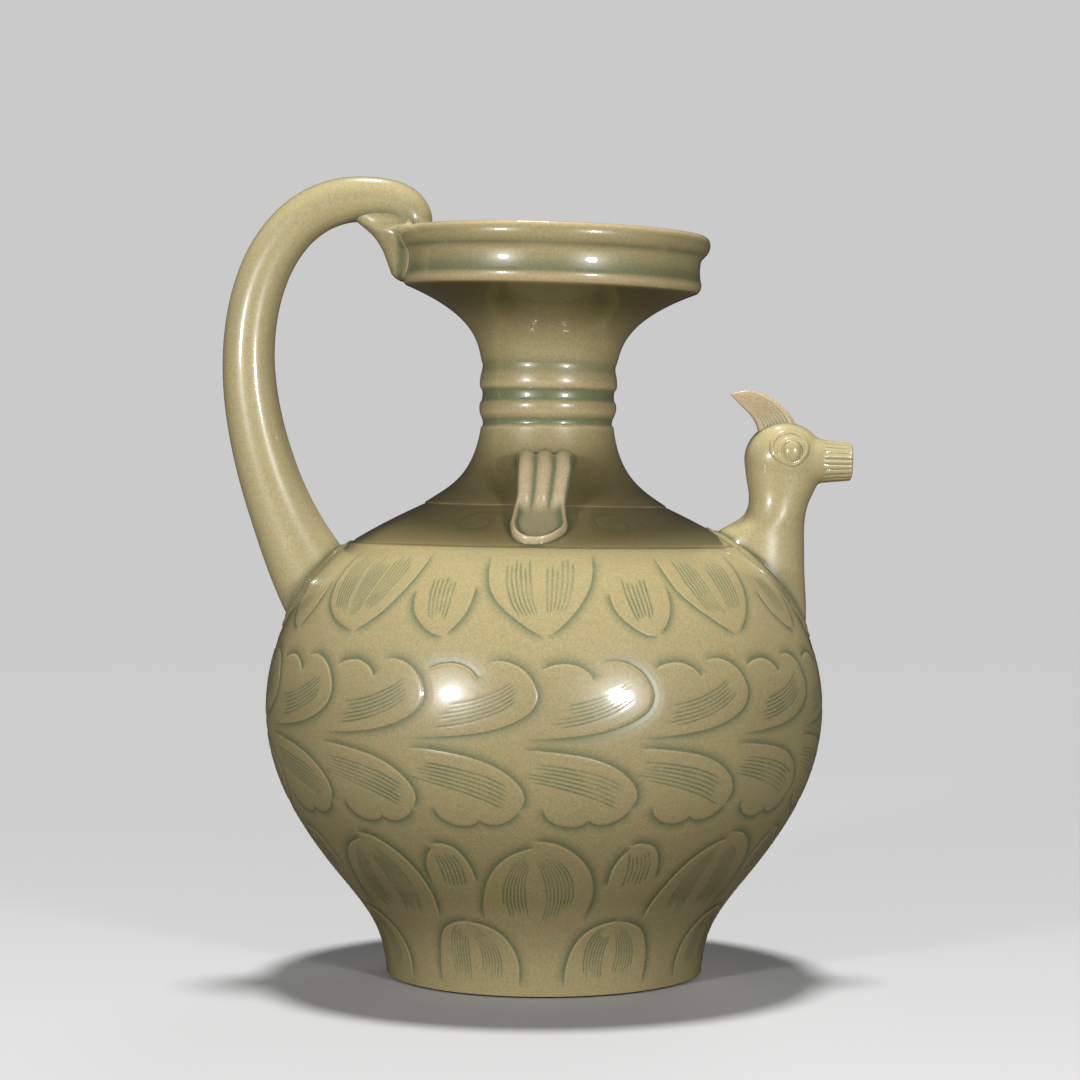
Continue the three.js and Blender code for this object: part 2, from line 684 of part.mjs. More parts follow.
const faces = [['front', -1], ['back', 1]];
faces.forEach(([face, side]) => {
  addMember(`spout_eye_${face}`, eyeSolid(side), 'pale');
  addMember(`spout_eye_ring_${face}`, eyeRingSolid(side), 'pale');
  ['left', 'middle', 'right'].forEach((place, index) => {
    addMember(`lug_${face}_coil_${place}`, lugCoil(side, index), 'thin');
  });
  addMember(`lug_${face}_pad`, padSolid(side), 'thin');
});

export default ewer;
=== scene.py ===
import math

import bpy
import numpy as np
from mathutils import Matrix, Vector
from mathutils.bvhtree import BVHTree


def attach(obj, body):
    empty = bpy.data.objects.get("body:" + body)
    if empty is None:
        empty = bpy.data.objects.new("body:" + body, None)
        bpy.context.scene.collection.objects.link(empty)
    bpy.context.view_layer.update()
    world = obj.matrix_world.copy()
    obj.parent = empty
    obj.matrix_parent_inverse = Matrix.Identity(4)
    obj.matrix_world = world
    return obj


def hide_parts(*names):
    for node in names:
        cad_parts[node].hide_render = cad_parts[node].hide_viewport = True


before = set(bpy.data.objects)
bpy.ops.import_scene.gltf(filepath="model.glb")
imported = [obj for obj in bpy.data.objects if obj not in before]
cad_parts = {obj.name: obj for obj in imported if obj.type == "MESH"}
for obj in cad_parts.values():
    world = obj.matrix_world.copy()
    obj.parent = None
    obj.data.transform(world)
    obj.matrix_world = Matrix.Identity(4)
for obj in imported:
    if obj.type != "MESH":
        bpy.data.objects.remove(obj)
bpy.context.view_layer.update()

# Every piece is modelled upright in millimetres, then leaned with the vessel and turned into metres
mm = 0.001
lean = {
    "start": 100,
    "end": 225,
    "angle": 1.85,
    # Height and share of the tilt: the neck was set straighter than the body and the dish
    "neckTilt": [
        (165, 0.54), (173, 0.6), (184, 0.25), (194, 0.05), (199, 0.12), (205, 0.29), (211, 0.5), (217, 0.72),
        (223, 0.89), (228, 0.97), (232, 1),
    ],
    # Height and how far the dish drops towards the front, at its rim
    "sag": [(226, 0), (232, 0.3), (240, 0.9), (247, 1.2), (252, 1.2), (260, 0.9), (269, 0.7)],
    "rimRadius": 57,
}
# Height and how much darker the glaze is made, partly thicker glaze and partly painted shade: under the
# belly, over the shoulder and the neck's bends in the shadow of the dish, and on the funnel under the dish
deepGlazeAndShade = [
    (0, 0), (30, 0.08), (36, 0.25), (60, 0.25), (74, 0.05), (80, 0), (154.6, 0), (155.8, 0.6), (158, 0.7),
    (169, 0.75), (174, 0.78), (182, 0.72), (188, 0.5), (192, 0.2), (196, 0), (222, 0), (228, 0.12),
    (235, 0.5), (242, 0.95), (247.4, 1), (248.6, 0),
]

vessel = {
    "foot": (57.2, 0),
    "hip": (71.5, 32.5),
    "belly": (101.1, 97),
    "shoulder": (71, 155.3),
    "collar": (43.6, 169.8),
    "wall": 5,
    "floor": 7,
    # Distance in from the foot's edge, and height, of the corners underneath
    "under": [(8, 0.6), (4, 0), (0.9, 0), (0.25, 0.35)],
    "spinSteps": 1280,
    "rowHeight": 0.55,
    "insideRowHeight": 9,
}
vesselBends = {
    "heel": ((0.111, 0.419), (0.259, 0.6)),
    "flank": ((0.498, 0.279), (1, 0.585)),
    "dome": ((0, 0.36), (0.369, 0.789)),
    "slope": ((0.33, 0.39), (0.68, 0.72)),
    "neck": ((0.456, 0.215), (0.862, 0.356)),
    "flare": ((0.075, 0.189), (0.003, 0.592)),
}


# Outlines

def bendLine(start, end, shares, count=60):
    start, end = np.array(start, float), np.array(end, float)
    first, second = (start + (end - start) * np.array(share) for share in shares)
    t = np.linspace(0, 1, count)[:, None]
    return (1 - t) ** 3 * start + 3 * (1 - t) ** 2 * t * first + 3 * (1 - t) * t**2 * second + t**3 * end


def joinLines(*lines):
    return np.vstack([lines[0], *[line[1:] for line in lines[1:]]])


def lengthAlong(line):
    steps = np.linalg.norm(np.diff(line, axis=0), axis=1)
    return np.concatenate([[0], np.cumsum(steps)])


def readLine(line, places):
    lengths = lengthAlong(line)
    return np.column_stack([np.interp(places, lengths, line[:, axis]) for axis in range(line.shape[1])])


def lookUp(places, table):
    # Value at each place of a table of places and values, straight between them
    return np.interp(places, *zip(*table))


def evenly(line, spacing):
    total = lengthAlong(line)[-1]
    return readLine(line, np.linspace(0, total, max(round(total / spacing), 1) + 1))


def smoothLine(points, count):
    # A Catmull-Rom curve through the points
    points = np.array(points, float)
    padded = np.vstack([2 * points[0] - points[1], points, 2 * points[-1] - points[-2]])
    places = np.linspace(0, len(points) - 1, count)
    index = np.minimum(places.astype(int), len(points) - 2)
    t = (places - index)[:, None]
    a, b, c, d = (padded[index + shift] for shift in range(4))
    return 0.5 * (2 * b + (c - a) * t + (2 * a - 5 * b + 4 * c - d) * t**2 + (3 * b - a - 3 * c + d) * t**3)


bodySkin = joinLines(
    bendLine(vessel["foot"], vessel["hip"], vesselBends["heel"]),
    bendLine(vessel["hip"], vessel["belly"], vesselBends["flank"]),
    bendLine(vessel["belly"], vessel["shoulder"], vesselBends["dome"]),
    bendLine(vessel["shoulder"], vessel["collar"], vesselBends["slope"]),
)
skinLength = lengthAlong(bodySkin)
seamPlace = np.interp(vessel["belly"][1], bodySkin[:, 1], skinLength)


def skinRadius(height):
    return np.interp(height, bodySkin[:, 1], bodySkin[:, 0])


def skinNormal(place):
    # Outward direction, as (radius, height), at a place along the skin
    ahead, behind = readLine(bodySkin, place + 0.5), readLine(bodySkin, place - 0.5)
    step = ahead - behind
    step /= np.linalg.norm(step, axis=1)[:, None]
    return np.column_stack([step[:, 1], -step[:, 0]])


def skinDirection(points, places):
    # The same direction in space, for points on the skin
    normal = skinNormal(places)
    radius = np.maximum(np.hypot(points[:, 0], points[:, 1]), 1e-6)
    return np.column_stack([normal[:, 0] * points[:, 0] / radius, normal[:, 0] * points[:, 1] / radius,
                            normal[:, 1]])


# Modelling helpers

def deselectAll():
    if bpy.context.object and bpy.context.object.mode != "OBJECT":
        bpy.ops.object.mode_set(mode="OBJECT")
    bpy.ops.object.select_all(action="DESELECT")


def pick(piece):
    deselectAll()
    piece.select_set(True)
    bpy.context.view_layer.objects.active = piece


def newObject(name, data):
    piece = bpy.data.objects.new(name, data)
    bpy.context.collection.objects.link(piece)
    return piece


def readArray(items, name, width, kind=float):
    values = np.empty(len(items) * width, kind)
    items.foreach_get(name, values)
    return values.reshape(-1, width)


def coordinates(piece):
    return readArray(piece.data.vertices, "co", 3)


def edgeEnds(piece):
    return readArray(piece.data.edges, "vertices", 2, int).T


def moveTo(piece, points):
    piece.data.vertices.foreach_set("co", np.asarray(points, float).ravel())
    piece.data.update()


def setAttribute(piece, name, values):
    attribute = piece.data.attributes.new(name, "FLOAT", "POINT")
    attribute.data.foreach_set("value", np.asarray(values, np.float32))


def modify(piece, kind, **settings):
    pick(piece)
    modifier = piece.modifiers.new(kind.title(), kind)
    for name, value in settings.items():
        setattr(modifier, name, value)
    bpy.ops.object.modifier_apply(modifier=modifier.name)
    return piece


def joined(name, pieces):
    pick(pieces[0])
    for piece in pieces:
        piece.select_set(True)
    bpy.ops.object.join()
    pieces[0].name = pieces[0].data.name = name
    return pieces[0]


def faceOutward(piece, weld=0):
    pick(piece)
    bpy.ops.object.mode_set(mode="EDIT")
    bpy.ops.mesh.select_all(action="SELECT")
    if weld:
        bpy.ops.mesh.remove_doubles(threshold=weld)
    bpy.ops.mesh.normals_make_consistent(inside=False)
    bpy.ops.object.mode_set(mode="OBJECT")
    return piece


def turned(name, outline, steps, weld=0.0005):
    # A closed outline in the plane of the axis, spun round it
    mesh = bpy.data.meshes.new(name)
    links = [(index, index + 1) for index in range(len(outline) - 1)]
    if outline[0][0] > 0:
        links.append((len(outline) - 1, 0))
    mesh.from_pydata([(radius, 0, height) for radius, height in outline], links, [])
    piece = newObject(name, mesh)
    modify(piece, "SCREW", axis="Z", angle=2 * math.pi, steps=steps, render_steps=steps,
           use_merge_vertices=True, merge_threshold=weld)
    return faceOutward(piece, weld)


def ringSkin(name, corners, ring, closed=False, glazing=None, smoothing=0):
    # Skins rings of corners; closed joins the last ring to the first, otherwise both ends get a cap
    rows = len(corners) // ring
    faces = []
    for row in range(rows if closed else rows - 1):
        here, there = row * ring, (row + 1) % rows * ring
        for step in range(ring):
            beside = (step + 1) % ring
            faces.append((here + step, here + beside, there + beside, there + step))
    if not closed:
        faces += [tuple(range(ring - 1, -1, -1)), tuple(range((rows - 1) * ring, rows * ring))]
    mesh = bpy.data.meshes.new(name)
    mesh.from_pydata([tuple(corner) for corner in corners], [], faces)
    piece = faceOutward(newObject(name, mesh))
    if glazing is not None:
        setAttribute(piece, "pooled", glazing)
    if smoothing:
        modify(piece, "SMOOTH", factor=0.5, iterations=smoothing)
    return piece


def extrudedRod(name, sections, around=24):
    # Sections are (x, z, half length along x, half width along y), from the foot upwards
    x, z, halfLength, halfWidth = sections[0]
    deselectAll()
    bpy.ops.mesh.primitive_circle_add(vertices=around, radius=1, fill_type="NGON", location=(x, 0, z))
    piece = bpy.context.object
    piece.name = piece.data.name = name
    bpy.ops.object.transform_apply(location=True, rotation=False, scale=False)
    bpy.ops.object.mode_set(mode="EDIT")
    bpy.ops.transform.resize(value=(halfLength, halfWidth, 1), center_override=(x, 0, z))
    for nextX, nextZ, nextLength, nextWidth in sections[1:]:
        step = (nextX - x, 0, nextZ - z)
        bpy.ops.mesh.extrude_region_move(TRANSFORM_OT_translate={"value": step})
        growth = (nextLength / halfLength, nextWidth / halfWidth, 1)
        bpy.ops.transform.resize(value=growth, center_override=(nextX, 0, nextZ))
        x, z, halfLength, halfWidth = nextX, nextZ, nextLength, nextWidth
    return faceOutward(piece)


def ellipsoid(name, centre, radii):
    deselectAll()
    bpy.ops.mesh.primitive_uv_sphere_add(segments=48, ring_count=32, radius=1, location=centre)
    piece = bpy.context.object
    piece.name = piece.data.name = name
    piece.scale = radii
    bpy.ops.object.transform_apply(location=True, rotation=True, scale=True)
    return piece


# Strokes cut in the body: angles in degrees from the front, places in millimetres along the skin

petalBand = {
    "large": {
        "centres": [-0.7, 43.3, 88.3, 178.3, 268.3],
        "edges": [
            [(-13.2, 173), (-12.9, 165), (-11.5, 157), (-8.9, 151.2), (-5.3, 146), (-2.2, 142.2),
             (1, 138.9)],
            [(1, 138.9), (5, 144.6), (8.3, 151), (11, 158.5), (12.5, 166.5), (13.1, 174.5)],
        ],
        "combs": [
            [[(-8.6, 173.5), (-8.2, 162), (-6.4, 152), (-3.6, 145)],
             [(-3.2, 172), (-2.6, 161), (-1.7, 152), (-0.3, 146)], 6],
            [[(1.5, 172), (1.3, 161), (1.3, 152), (1.4, 146.6)],
             [(7.9, 173.5), (7.3, 162), (6, 153), (4.2, 147)], 6],
        ],
    },
    "combed": {
        "centres": [-46, 133.3, 223.3],
        "edges": [
            [(-13.2, 173), (-13, 162), (-11, 152), (-7.6, 146.5), (-3, 142.6), (2.2, 139.8)],
            [(2.2, 139.8), (6.5, 144.6), (10, 150.5), (12.6, 157.5), (14.3, 165.5), (15, 174.5)],
        ],
        "combs": [
            [[(-10.6, 174), (-10.1, 162), (-8, 152), (-5, 145.3)],
             [(-4.6, 173), (-4.4, 162), (-3.6, 152), (-2.4, 145.8)], 6],
            [[(-2.6, 173), (-2.1, 162), (-1.5, 152), (-0.6, 144)],
             [(3.4, 173), (2.9, 162), (1.9, 152), (0.8, 143.8)], 6],
            [[(5.2, 173.5), (4.6, 163), (3.6, 155), (2, 146.8)],
             [(11.3, 173), (9.6, 162), (7.2, 153.5), (4.4, 146.5)], 6],
        ],
    },
    "small": {
        "centres": [-23, 21.8, 66.5, 111.5, 156.5, 201.5, 246.5, 291.5],
        "edges": [
            [(-7, 156.5), (-7, 152.5), (-5.8, 147.5), (-3.3, 143.2), (-0.6, 140.4), (2.2, 139.4)],
            [(2.4, 140), (4.6, 144), (6.2, 148.5), (7, 154), (7.1, 158.7)],
        ],
        "combs": [
            [[(-3.6, 163.5), (-3.4, 156), (-2.6, 149), (-1.6, 143.8)],
             [(2.1, 163), (1.9, 156), (1.9, 150), (1.5, 144.8)], 6],
        ],
    },
}
leafBand = {
    "upper": {
        "centres": [-1.2 + 22.5 * step for step in range(16)],
        "edges": [
            [(-25, 105.2), (-20.5, 105.4), (-15, 106.2), (-10, 107.6), (-5.8, 109.8), (-2.7, 112.5),
             (-0.9, 115.3), (-0.1, 119), (-0.6, 123), (-2.1, 127), (-4.6, 130), (-7.5, 131.2),
             (-10.3, 130.3)],
            [(-11.8, 124.6), (-12.3, 126.5), (-14, 128.8), (-16.5, 130.2), (-19.5, 129.8), (-22, 128)],
        ],
        "combs": [
            [[(-19.8, 115.4), (-13.3, 117.4), (-7.8, 121), (-3.8, 125.4)],
             [(-21, 108.3), (-13.8, 110.4), (-7.6, 114), (-2.7, 119.4)], 6],
        ],
    },
    "lower": {
        "centres": [-3.7 + 22.5 * step for step in range(16)],
        "edges": [
            [(-1.6, 80.2), (-0.6, 82), (-0.2, 85), (-1, 88.8), (-3, 92.6), (-6, 96), (-10, 98.6),
             (-14.8, 100.3), (-19.5, 101.3), (-23.3, 101.6)],
            [(-19, 81), (-18.5, 78), (-17, 75.5), (-14.8, 74), (-12.3, 73.8), (-10.5, 75), (-9.8, 76.5)],
            [(-9.9, 76.6), (-8.8, 75.2), (-7, 74.4), (-4.8, 75.2), (-2.8, 77.2), (-1.4, 80)],
        ],
        "combs": [
            [[(-23.4, 97.2), (-16, 95.8), (-8, 92.5), (-1.5, 87)],
             [(-24.2, 92), (-16, 88.6), (-9, 84.6), (-2.6, 79.4)], 6],
        ],
    },
}
domeBand = {
    "large": {
        "centres": [-45.5, -2.3, 45, 89, 134, 179, 224, 269],
        "edges": [
            [(0.3, 65.3), (-1.5, 64.6), (-5.6, 61.5), (-9.2, 56), (-11.6, 50), (-13.4, 43), (-14.7, 36),
             (-14.9, 29.5)],
            [(13.3, 30), (14.3, 35.5), (14.9, 42), (14.1, 50), (12.1, 57), (8.8, 63), (5.3, 66.6),
             (2.6, 67.8), (0, 68.2)],
        ],
        "combs": [
            [[(-8, 29.5), (-8.4, 42), (-6.6, 52), (-3.8, 59), (-0.6, 64)],
             [(-2, 29), (-2.6, 40), (-2.5, 48), (-1.8, 54), (-0.3, 60)], 7],
            [[(8, 30), (9.6, 43), (8.6, 52), (5.8, 59), (1.4, 64.4)],
             [(1.2, 28.5), (2.9, 38), (2.8, 47), (1.7, 55), (0.3, 60.5)], 8],
        ],
    },
    "small": {
        "centres": [-23, 21.8, 67, 111.5, 156.5, 201.5, 246.5, 291.5],
        "edges": [
            [(-2.4, 64.4), (-4.6, 60), (-5.9, 54), (-6, 47)],
            [(6.1, 49), (6, 54), (4.9, 60), (3, 64.4), (0, 66.2), (-3, 65.6)],
        ],
        "combs": [
            [[(-2.6, 63), (-1.9, 55), (-2, 45.5)], [(1.6, 63.4), (3.4, 56), (3.3, 46.5)], 6],
        ],
    },
}
footBand = {
    "petal": {
        "centres": [-67.5, -22.8, 22.3, 67.5, 112.5, 157.5, 202.5, 247.5],
        "edges": [
            [(0.5, 29.8), (-2, 29.5), (-6, 27.9), (-10, 24.3), (-13.2, 18), (-15.2, 10), (-15.3, 3)],
            [(13.9, 3), (14.4, 9), (14, 14), (12, 19.8), (8.6, 25.2), (4, 28.4), (-1, 29.8)],
        ],
        "combs": [
            [[(-3.6, 28.2), (-7.2, 23), (-9, 15), (-8.6, 4)],
             [(-1.2, 24), (-2.3, 19), (-2.8, 13), (-3, 4)], 7],
            [[(-1.4, 28), (3.4, 25), (7.2, 18.5), (8.4, 12), (7.2, 3.5)],
             [(-0.2, 24.4), (0.9, 21.5), (1.8, 18), (2.1, 13), (0.8, 4.5)], 7],
        ],
    },
}
# Faint curls on the shoulder
curlBand = {
    "curl": {
        "centres": [-25.4 + 360 / 7 * step for step in range(7)],
        "strength": 0.4,
        "edges": [
            [((1 - 0.05 * step) * 9.4 * math.cos(0.6 * step),
              (1 - 0.05 * step) * 7.6 * math.sin(0.6 * step) + 195) for step in range(15)],
            [(10, 199), (14, 193.5), (19, 192), (24, 195)],
        ],
        "combs": [],
    },
}
cut = {
    "edgeDepth": 0.22,
    "edgeWall": 0.8,
    "edgeFade": 4.8,
    "edgeTaper": 0.14,
    # How far an edge still tells on the petal, and over what length its far side runs out
    "petalSide": 1.5,
    "runOut": 1.5,
    "edgePoints": 40,
    "combDepth": 0.05,
    "combEnds": 0.09,
    "raggedEnds": 0.13,
    "combPoints": 30,
    "combMargin": 3,
    # How far the comb's mark reaches past its outer strokes, and how soft its side is, in strokes
    "strokeSide": 0.6,
    "strokeSoft": 0.2,
    "strokeReach": 1.4,
    "luck": 7,
}
carvingFields = ("edgeGap", "edgeWeight", "combPhase", "combMask")


def clamped(values):
    return np.clip(values, 0, 1)


def nearLine(x, y, line):
    # Distance to a line, the side (left is positive) and the share along it
    start, step = line[:-1], np.diff(line, axis=0)
    offsetX, offsetY = x[:, None] - start[:, 0], y[:, None] - start[:, 1]
    t = clamped((offsetX * step[:, 0] + offsetY * step[:, 1]) / (step**2).sum(1))
    gap = np.hypot(offsetX - t * step[:, 0], offsetY - t * step[:, 1])
    nearest = gap.argmin(1)
    row = np.arange(len(x))
    side = np.sign(step[nearest, 0] * offsetY[row, nearest] - step[nearest, 1] * offsetX[row, nearest])
    return gap[row, nearest], side, (nearest + t[row, nearest]) / len(step)


def flatPatch(angles, places, centre, points, margin):
    # The skin's points near a stroke, in millimetres across and along, and what flattens a stroke too
    line = smoothLine(points, cut["edgePoints"])
    middle = line[:, 0].mean()
    scale = math.radians(1) * skinRadius(np.interp(line[:, 1].mean(), skinLength, bodySkin[:, 1]))
    turn = (angles - centre - middle + 180) % 360 - 180
    reach = np.abs(line[:, 0] - middle).max() + margin / scale * 1.2
    low, high = line[:, 1].min() - margin, line[:, 1].max() + margin
    near = np.nonzero((np.abs(turn) < reach) & (places > low) & (places < high))[0]

    def flat(corners, count):
        stroke = smoothLine(corners, count)
        return np.column_stack([(stroke[:, 0] - middle) * scale, stroke[:, 1]])

    return near, turn[near] * scale, places[near], flat


def edgeField(angles, places, motifs):
    # Distance in front of the nearest petal edge, negative on the petal, and how strongly it is cut
    weights, keys = np.zeros(len(angles)), np.zeros(len(angles))
    gaps = weights - cut["petalSide"]
    edges = [(motif.get("strength", 1), centre, points)
             for motif in motifs for centre in motif["centres"] for points in motif["edges"]]
    for strength, centre, points in edges:
        near, x, y, flat = flatPatch(angles, places, centre, points, cut["edgeFade"])
        if not len(near):
            continue
        gap, side, share = nearLine(x, y, flat(points, cut["edgePoints"]))
        gap = np.where(side < 0, gap, -gap)
        ends = clamped(share / cut["edgeTaper"]) * clamped((1 - share) / cut["edgeTaper"])
        weight = strength * ends**0.5 * clamped((cut["edgeFade"] - gap) / cut["runOut"])
        outside = clamped(1 - gap / cut["edgeFade"]) ** 2
        key = weight * np.where(gap >= 0, outside, 0.98 * clamped(1 + gap / cut["petalSide"]))
        better = key > keys[near]
        chosen = near[better]
        gaps[chosen], weights[chosen], keys[chosen] = gap[better], weight[better], key[better]
    return gaps, weights


def combField(angles, places, motifs):
    # Number of the comb's stroke, whole on each stroke, and a mask of where the comb went
    phases, masks = np.zeros(len(angles)), np.zeros(len(angles))
    luck = np.random.default_rng(cut["luck"])
    combs = [(centre, *comb) for motif in motifs for centre in motif["centres"] for comb in motif["combs"]]
    for centre, first, last, count in combs:
        trim = luck.uniform(0, cut["raggedEnds"], (2, count + 2))
        near, x, y, flat = flatPatch(angles, places, centre, [*first, *last], cut["combMargin"])
        if not len(near):
            continue
        firstLine, lastLine = flat(first, cut["combPoints"]), flat(last, cut["combPoints"])
        firstGap, firstSide, firstShare = nearLine(x, y, firstLine)
        lastGap, lastSide, lastShare = nearLine(x, y, lastLine)
        middle = lastLine[cut["combPoints"] // 2]
        facing = nearLine(middle[:1], middle[1:], firstLine)[1][0]
        before, after = facing * firstSide * firstGap, -facing * lastSide * lastGap
        across = np.clip(before / np.maximum(before + after, 0.3), -0.5, 1.5)
        phase = across * (count - 1)
        along = firstShare + (lastShare - firstShare) * clamped(across)
        stroke = np.clip(np.round(phase), -1, count).astype(int) + 1
        mask = clamped((along - trim[0, stroke]) / cut["combEnds"])
        mask *= clamped((1 - trim[1, stroke] - along) / cut["combEnds"])
        mask *= clamped((phase + cut["strokeSide"]) / cut["strokeSoft"])
        mask *= clamped((count - 1 + cut["strokeSide"] - phase) / cut["strokeSoft"])
        within = (phase > -cut["strokeReach"]) & (phase < count - 1 + cut["strokeReach"])
        better = (mask >= masks[near]) & within
        chosen = near[better]
        phases[chosen], masks[chosen] = phase[better], mask[better]
    return phases, masks


def carvedDepth(gaps, weights, phases, masks):
    outside = clamped(1 - gaps / cut["edgeFade"]) ** 1.4
    inside = clamped(1 + gaps / cut["edgeWall"]) ** 2
    edges = cut["edgeDepth"] * weights * np.where(gaps >= 0, outside, inside)
    return edges + cut["combDepth"] * masks * (0.7 + 0.5 * np.cos(2 * math.pi * phases))


shoulderLine = {
    # Place along the skin, depth, width and glaze
    "groove": (178.4, 0.45, 0.45, 0.4),
    "ridge": (176.7, -0.35, 0.9, -0.3),
}


def shapeBody(piece, motifs):
    # Carves the outer skin of one band of the body
    points = coordinates(piece)
    radius = np.hypot(points[:, 0], points[:, 1])
    angles = np.degrees(np.arctan2(points[:, 0], -points[:, 1]))
    places = np.interp(points[:, 2], bodySkin[:, 1], skinLength)
    outer = (radius > skinRadius(points[:, 2]) - 0.2) & (points[:, 2] > 0.8)
    skin = (angles[outer], places[outer], motifs)
    fields = [np.full(len(points), -cut["petalSide"]), *np.zeros((3, len(points)))]
    for name, values, found in zip(carvingFields, fields, [*edgeField(*skin), *combField(*skin)]):
        values[outer] = found
        setAttribute(piece, name, values)
    depth, pooled = carvedDepth(*fields), np.zeros(len(points))
    for place, deepest, width, glaze in shoulderLine.values():
        near = outer * np.exp(-(((places - place) / width) ** 2))
        depth += deepest * near
        pooled += glaze * near
    moveTo(piece, points - skinDirection(points, places) * depth[:, None])
    setAttribute(piece, "pooled", pooled)
    return piece


def bodyBand(name, low, high, motifs):
    # One band of the thrown body, between two places along its skin
    heights = (vessel["rowHeight"], vessel["insideRowHeight"])
    outsidePlaces, insidePlaces = (np.linspace(low, high, max(round((high - low) / height), 2) + 1)
                                   for height in heights)
    outside = readLine(bodySkin, outsidePlaces)
    inside = readLine(bodySkin, insidePlaces) - skinNormal(insidePlaces) * vessel["wall"]
    outline = [*outside, *inside[::-1]]
    if low == 0:
        inside = inside[inside[:, 1] > vessel["floor"]]
        under = [(vessel["foot"][0] - inset, height) for inset, height in vessel["under"]]
        outside[0] = under.pop()
        floor = [(inside[0][0] - 3, vessel["floor"]), (0, vessel["floor"])]
        outline = [(0, under[0][1]), *under, *outside, *inside[::-1], *floor]
    return shapeBody(turned(name, outline, vessel["spinSteps"]), motifs)


# Lean, glaze and finish

def leaned(points, tilt):
    span = lean["end"] - lean["start"]
    t = clamped((points[:, 2] - lean["start"]) / span)
    steepness = math.tan(math.radians(lean["angle"]))
    drift = steepness * (span * (t**3 - t**4 / 2) + np.maximum(points[:, 2] - lean["end"], 0))
    slope, drop = steepness * t**2 * (3 - 2 * t), 0
    if tilt:
        slope = steepness * lookUp(points[:, 2], tilt)
        drop = points[:, 1] / lean["rimRadius"] * lookUp(points[:, 2], lean["sag"])
    return np.column_stack([points[:, 0] + drift, points[:, 1], points[:, 2] - points[:, 0] * slope + drop])


def relief(piece, radius):
    # How far each point stands out from its surroundings, in millimetres; negative in a hollow
    points = coordinates(piece)
    a, b = edgeEnds(piece)
    spacing = np.median(np.linalg.norm(points[a] - points[b], axis=1))
    rounds = int(min(max(2 * (radius / spacing) ** 2, 2), 60))
    count = np.bincount(a, minlength=len(points)) + np.bincount(b, minlength=len(points))
    soft = points.copy()
    for _ in range(rounds):
        total = np.column_stack([
            np.bincount(a, soft[b, axis], len(points)) + np.bincount(b, soft[a, axis], len(points))
            for axis in range(3)
        ])
        soft = soft * 0.5 + 0.5 * total / count[:, None]
    return ((points - soft) * readArray(piece.data.vertex_normals, "vector", 3)).sum(1)


def reachOf(*pieces):
    # Low corner, high corner and search tree of each piece
    found = []
    for piece in pieces:
        points = coordinates(piece)
        faces = [tuple(face.vertices) for face in piece.data.polygons]
        tree = BVHTree.FromPolygons([tuple(point) for point in points], faces)
        found.append((points.min(0), points.max(0), tree))
    return found


def nearness(piece, others, reach):
    # 1 where a piece touches one of the others, 0 from the reach onwards
    points = coordinates(piece)
    close = np.zeros(len(points))
    for low, high, tree in others:
        inside = np.nonzero(((points > low - reach) & (points < high + reach)).all(1))[0]
        for index in inside:
            gap = tree.find_nearest(points[index], reach)[3]
            if gap is not None:
                close[index] = max(close[index], 1 - gap / reach)
    return close


def finishPiece(piece, material, slot, nodes=(), levels=None, bare=0.6, pool=0.9, near=(), gather=0.5,
                reach=3.2, tilt=None, deepAndShade=None):
    # Glaze thickness: 0 where it has run off an edge, 0.5 on plain walls, 1 where it has pooled
    points = coordinates(piece)
    pooled = piece.data.attributes.get("pooled")
    if levels:
        amount = lookUp(points[:, 2], levels)
    elif pooled:
        amount = 0.5 + readArray(pooled.data, "value", 1, np.float32)[:, 0]
    else:
        height = relief(piece, 1.5)
        amount = 0.5 - bare * np.maximum(height, 0) - pool * np.minimum(height, 0)
    if near:
        amount += gather * nearness(piece, near, reach) ** 1.5
    setAttribute(piece, "glaze", clamped(amount))
    # Darkening by height, partly for thicker glaze and partly painted shade
    if deepAndShade:
        setAttribute(piece, "deepAndShade", lookUp(points[:, 2], deepAndShade))
    moveTo(piece, leaned(points, tilt) * mm)
    pick(piece)
    bpy.ops.object.shade_smooth_by_angle(angle=math.radians(40))
    piece.data.materials.clear()
    piece.data.materials.append(material)
    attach(piece, "root")
    if nodes:
        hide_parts(*nodes)
    print("finished", piece.name, len(piece.data.polygons), "faces")


# Materials

def feed(tree, node, inputs):
    # Each input takes a value or the output of another node
    for name, value in inputs.items():
        if isinstance(value, bpy.types.NodeSocket):
            tree.links.new(value, node.inputs[name])
        else:
            node.inputs[name].default_value = value
    return node


def addNode(tree, kind, inputs=None, **settings):
    node = tree.nodes.new(f"ShaderNode{kind}")
    for name, value in settings.items():
        setattr(node, name, value)
    return feed(tree, node, inputs or {})


def calculate(tree, operation, *values, kind="Math"):
    return addNode(tree, kind, dict(enumerate(values)), operation=operation).outputs[0]


def mapped(tree, value, source, target=(0, 1), **settings):
    # Carries the source range over to the target range, and stops at its ends
    limits = zip(("From Min", "From Max", "To Min", "To Max"), (*source, *target))
    return addNode(tree, "MapRange", {"Value": value, **dict(limits)}, **settings).outputs["Result"]


def ramp(tree, value, span, stops):
    # Level at each place of the span, straight between the stops
    node = addNode(tree, "ValToRGB", {"Fac": mapped(tree, value, span)})
    while len(node.color_ramp.elements) < len(stops):
        node.color_ramp.elements.new(0.5)
    for element, (place, level) in zip(node.color_ramp.elements, stops):
        element.position = (place - span[0]) / (span[1] - span[0])
        element.color = (level, level, level, 1)
    return node.outputs["Color"]


def noise(tree, scale, detail=2):
    where = addNode(tree, "TexCoord").outputs["Object"]
    return addNode(tree, "TexNoise", {"Vector": where, "Scale": scale, "Detail": detail}).outputs["Fac"]


def mixed(tree, share, first, second):
    inputs = {"Factor": share, "A": first, "B": second}
    return addNode(tree, "Mix", inputs, data_type="RGBA").outputs["Result"]


def readField(tree, name):
    return addNode(tree, "Attribute", attribute_name=name).outputs["Fac"]


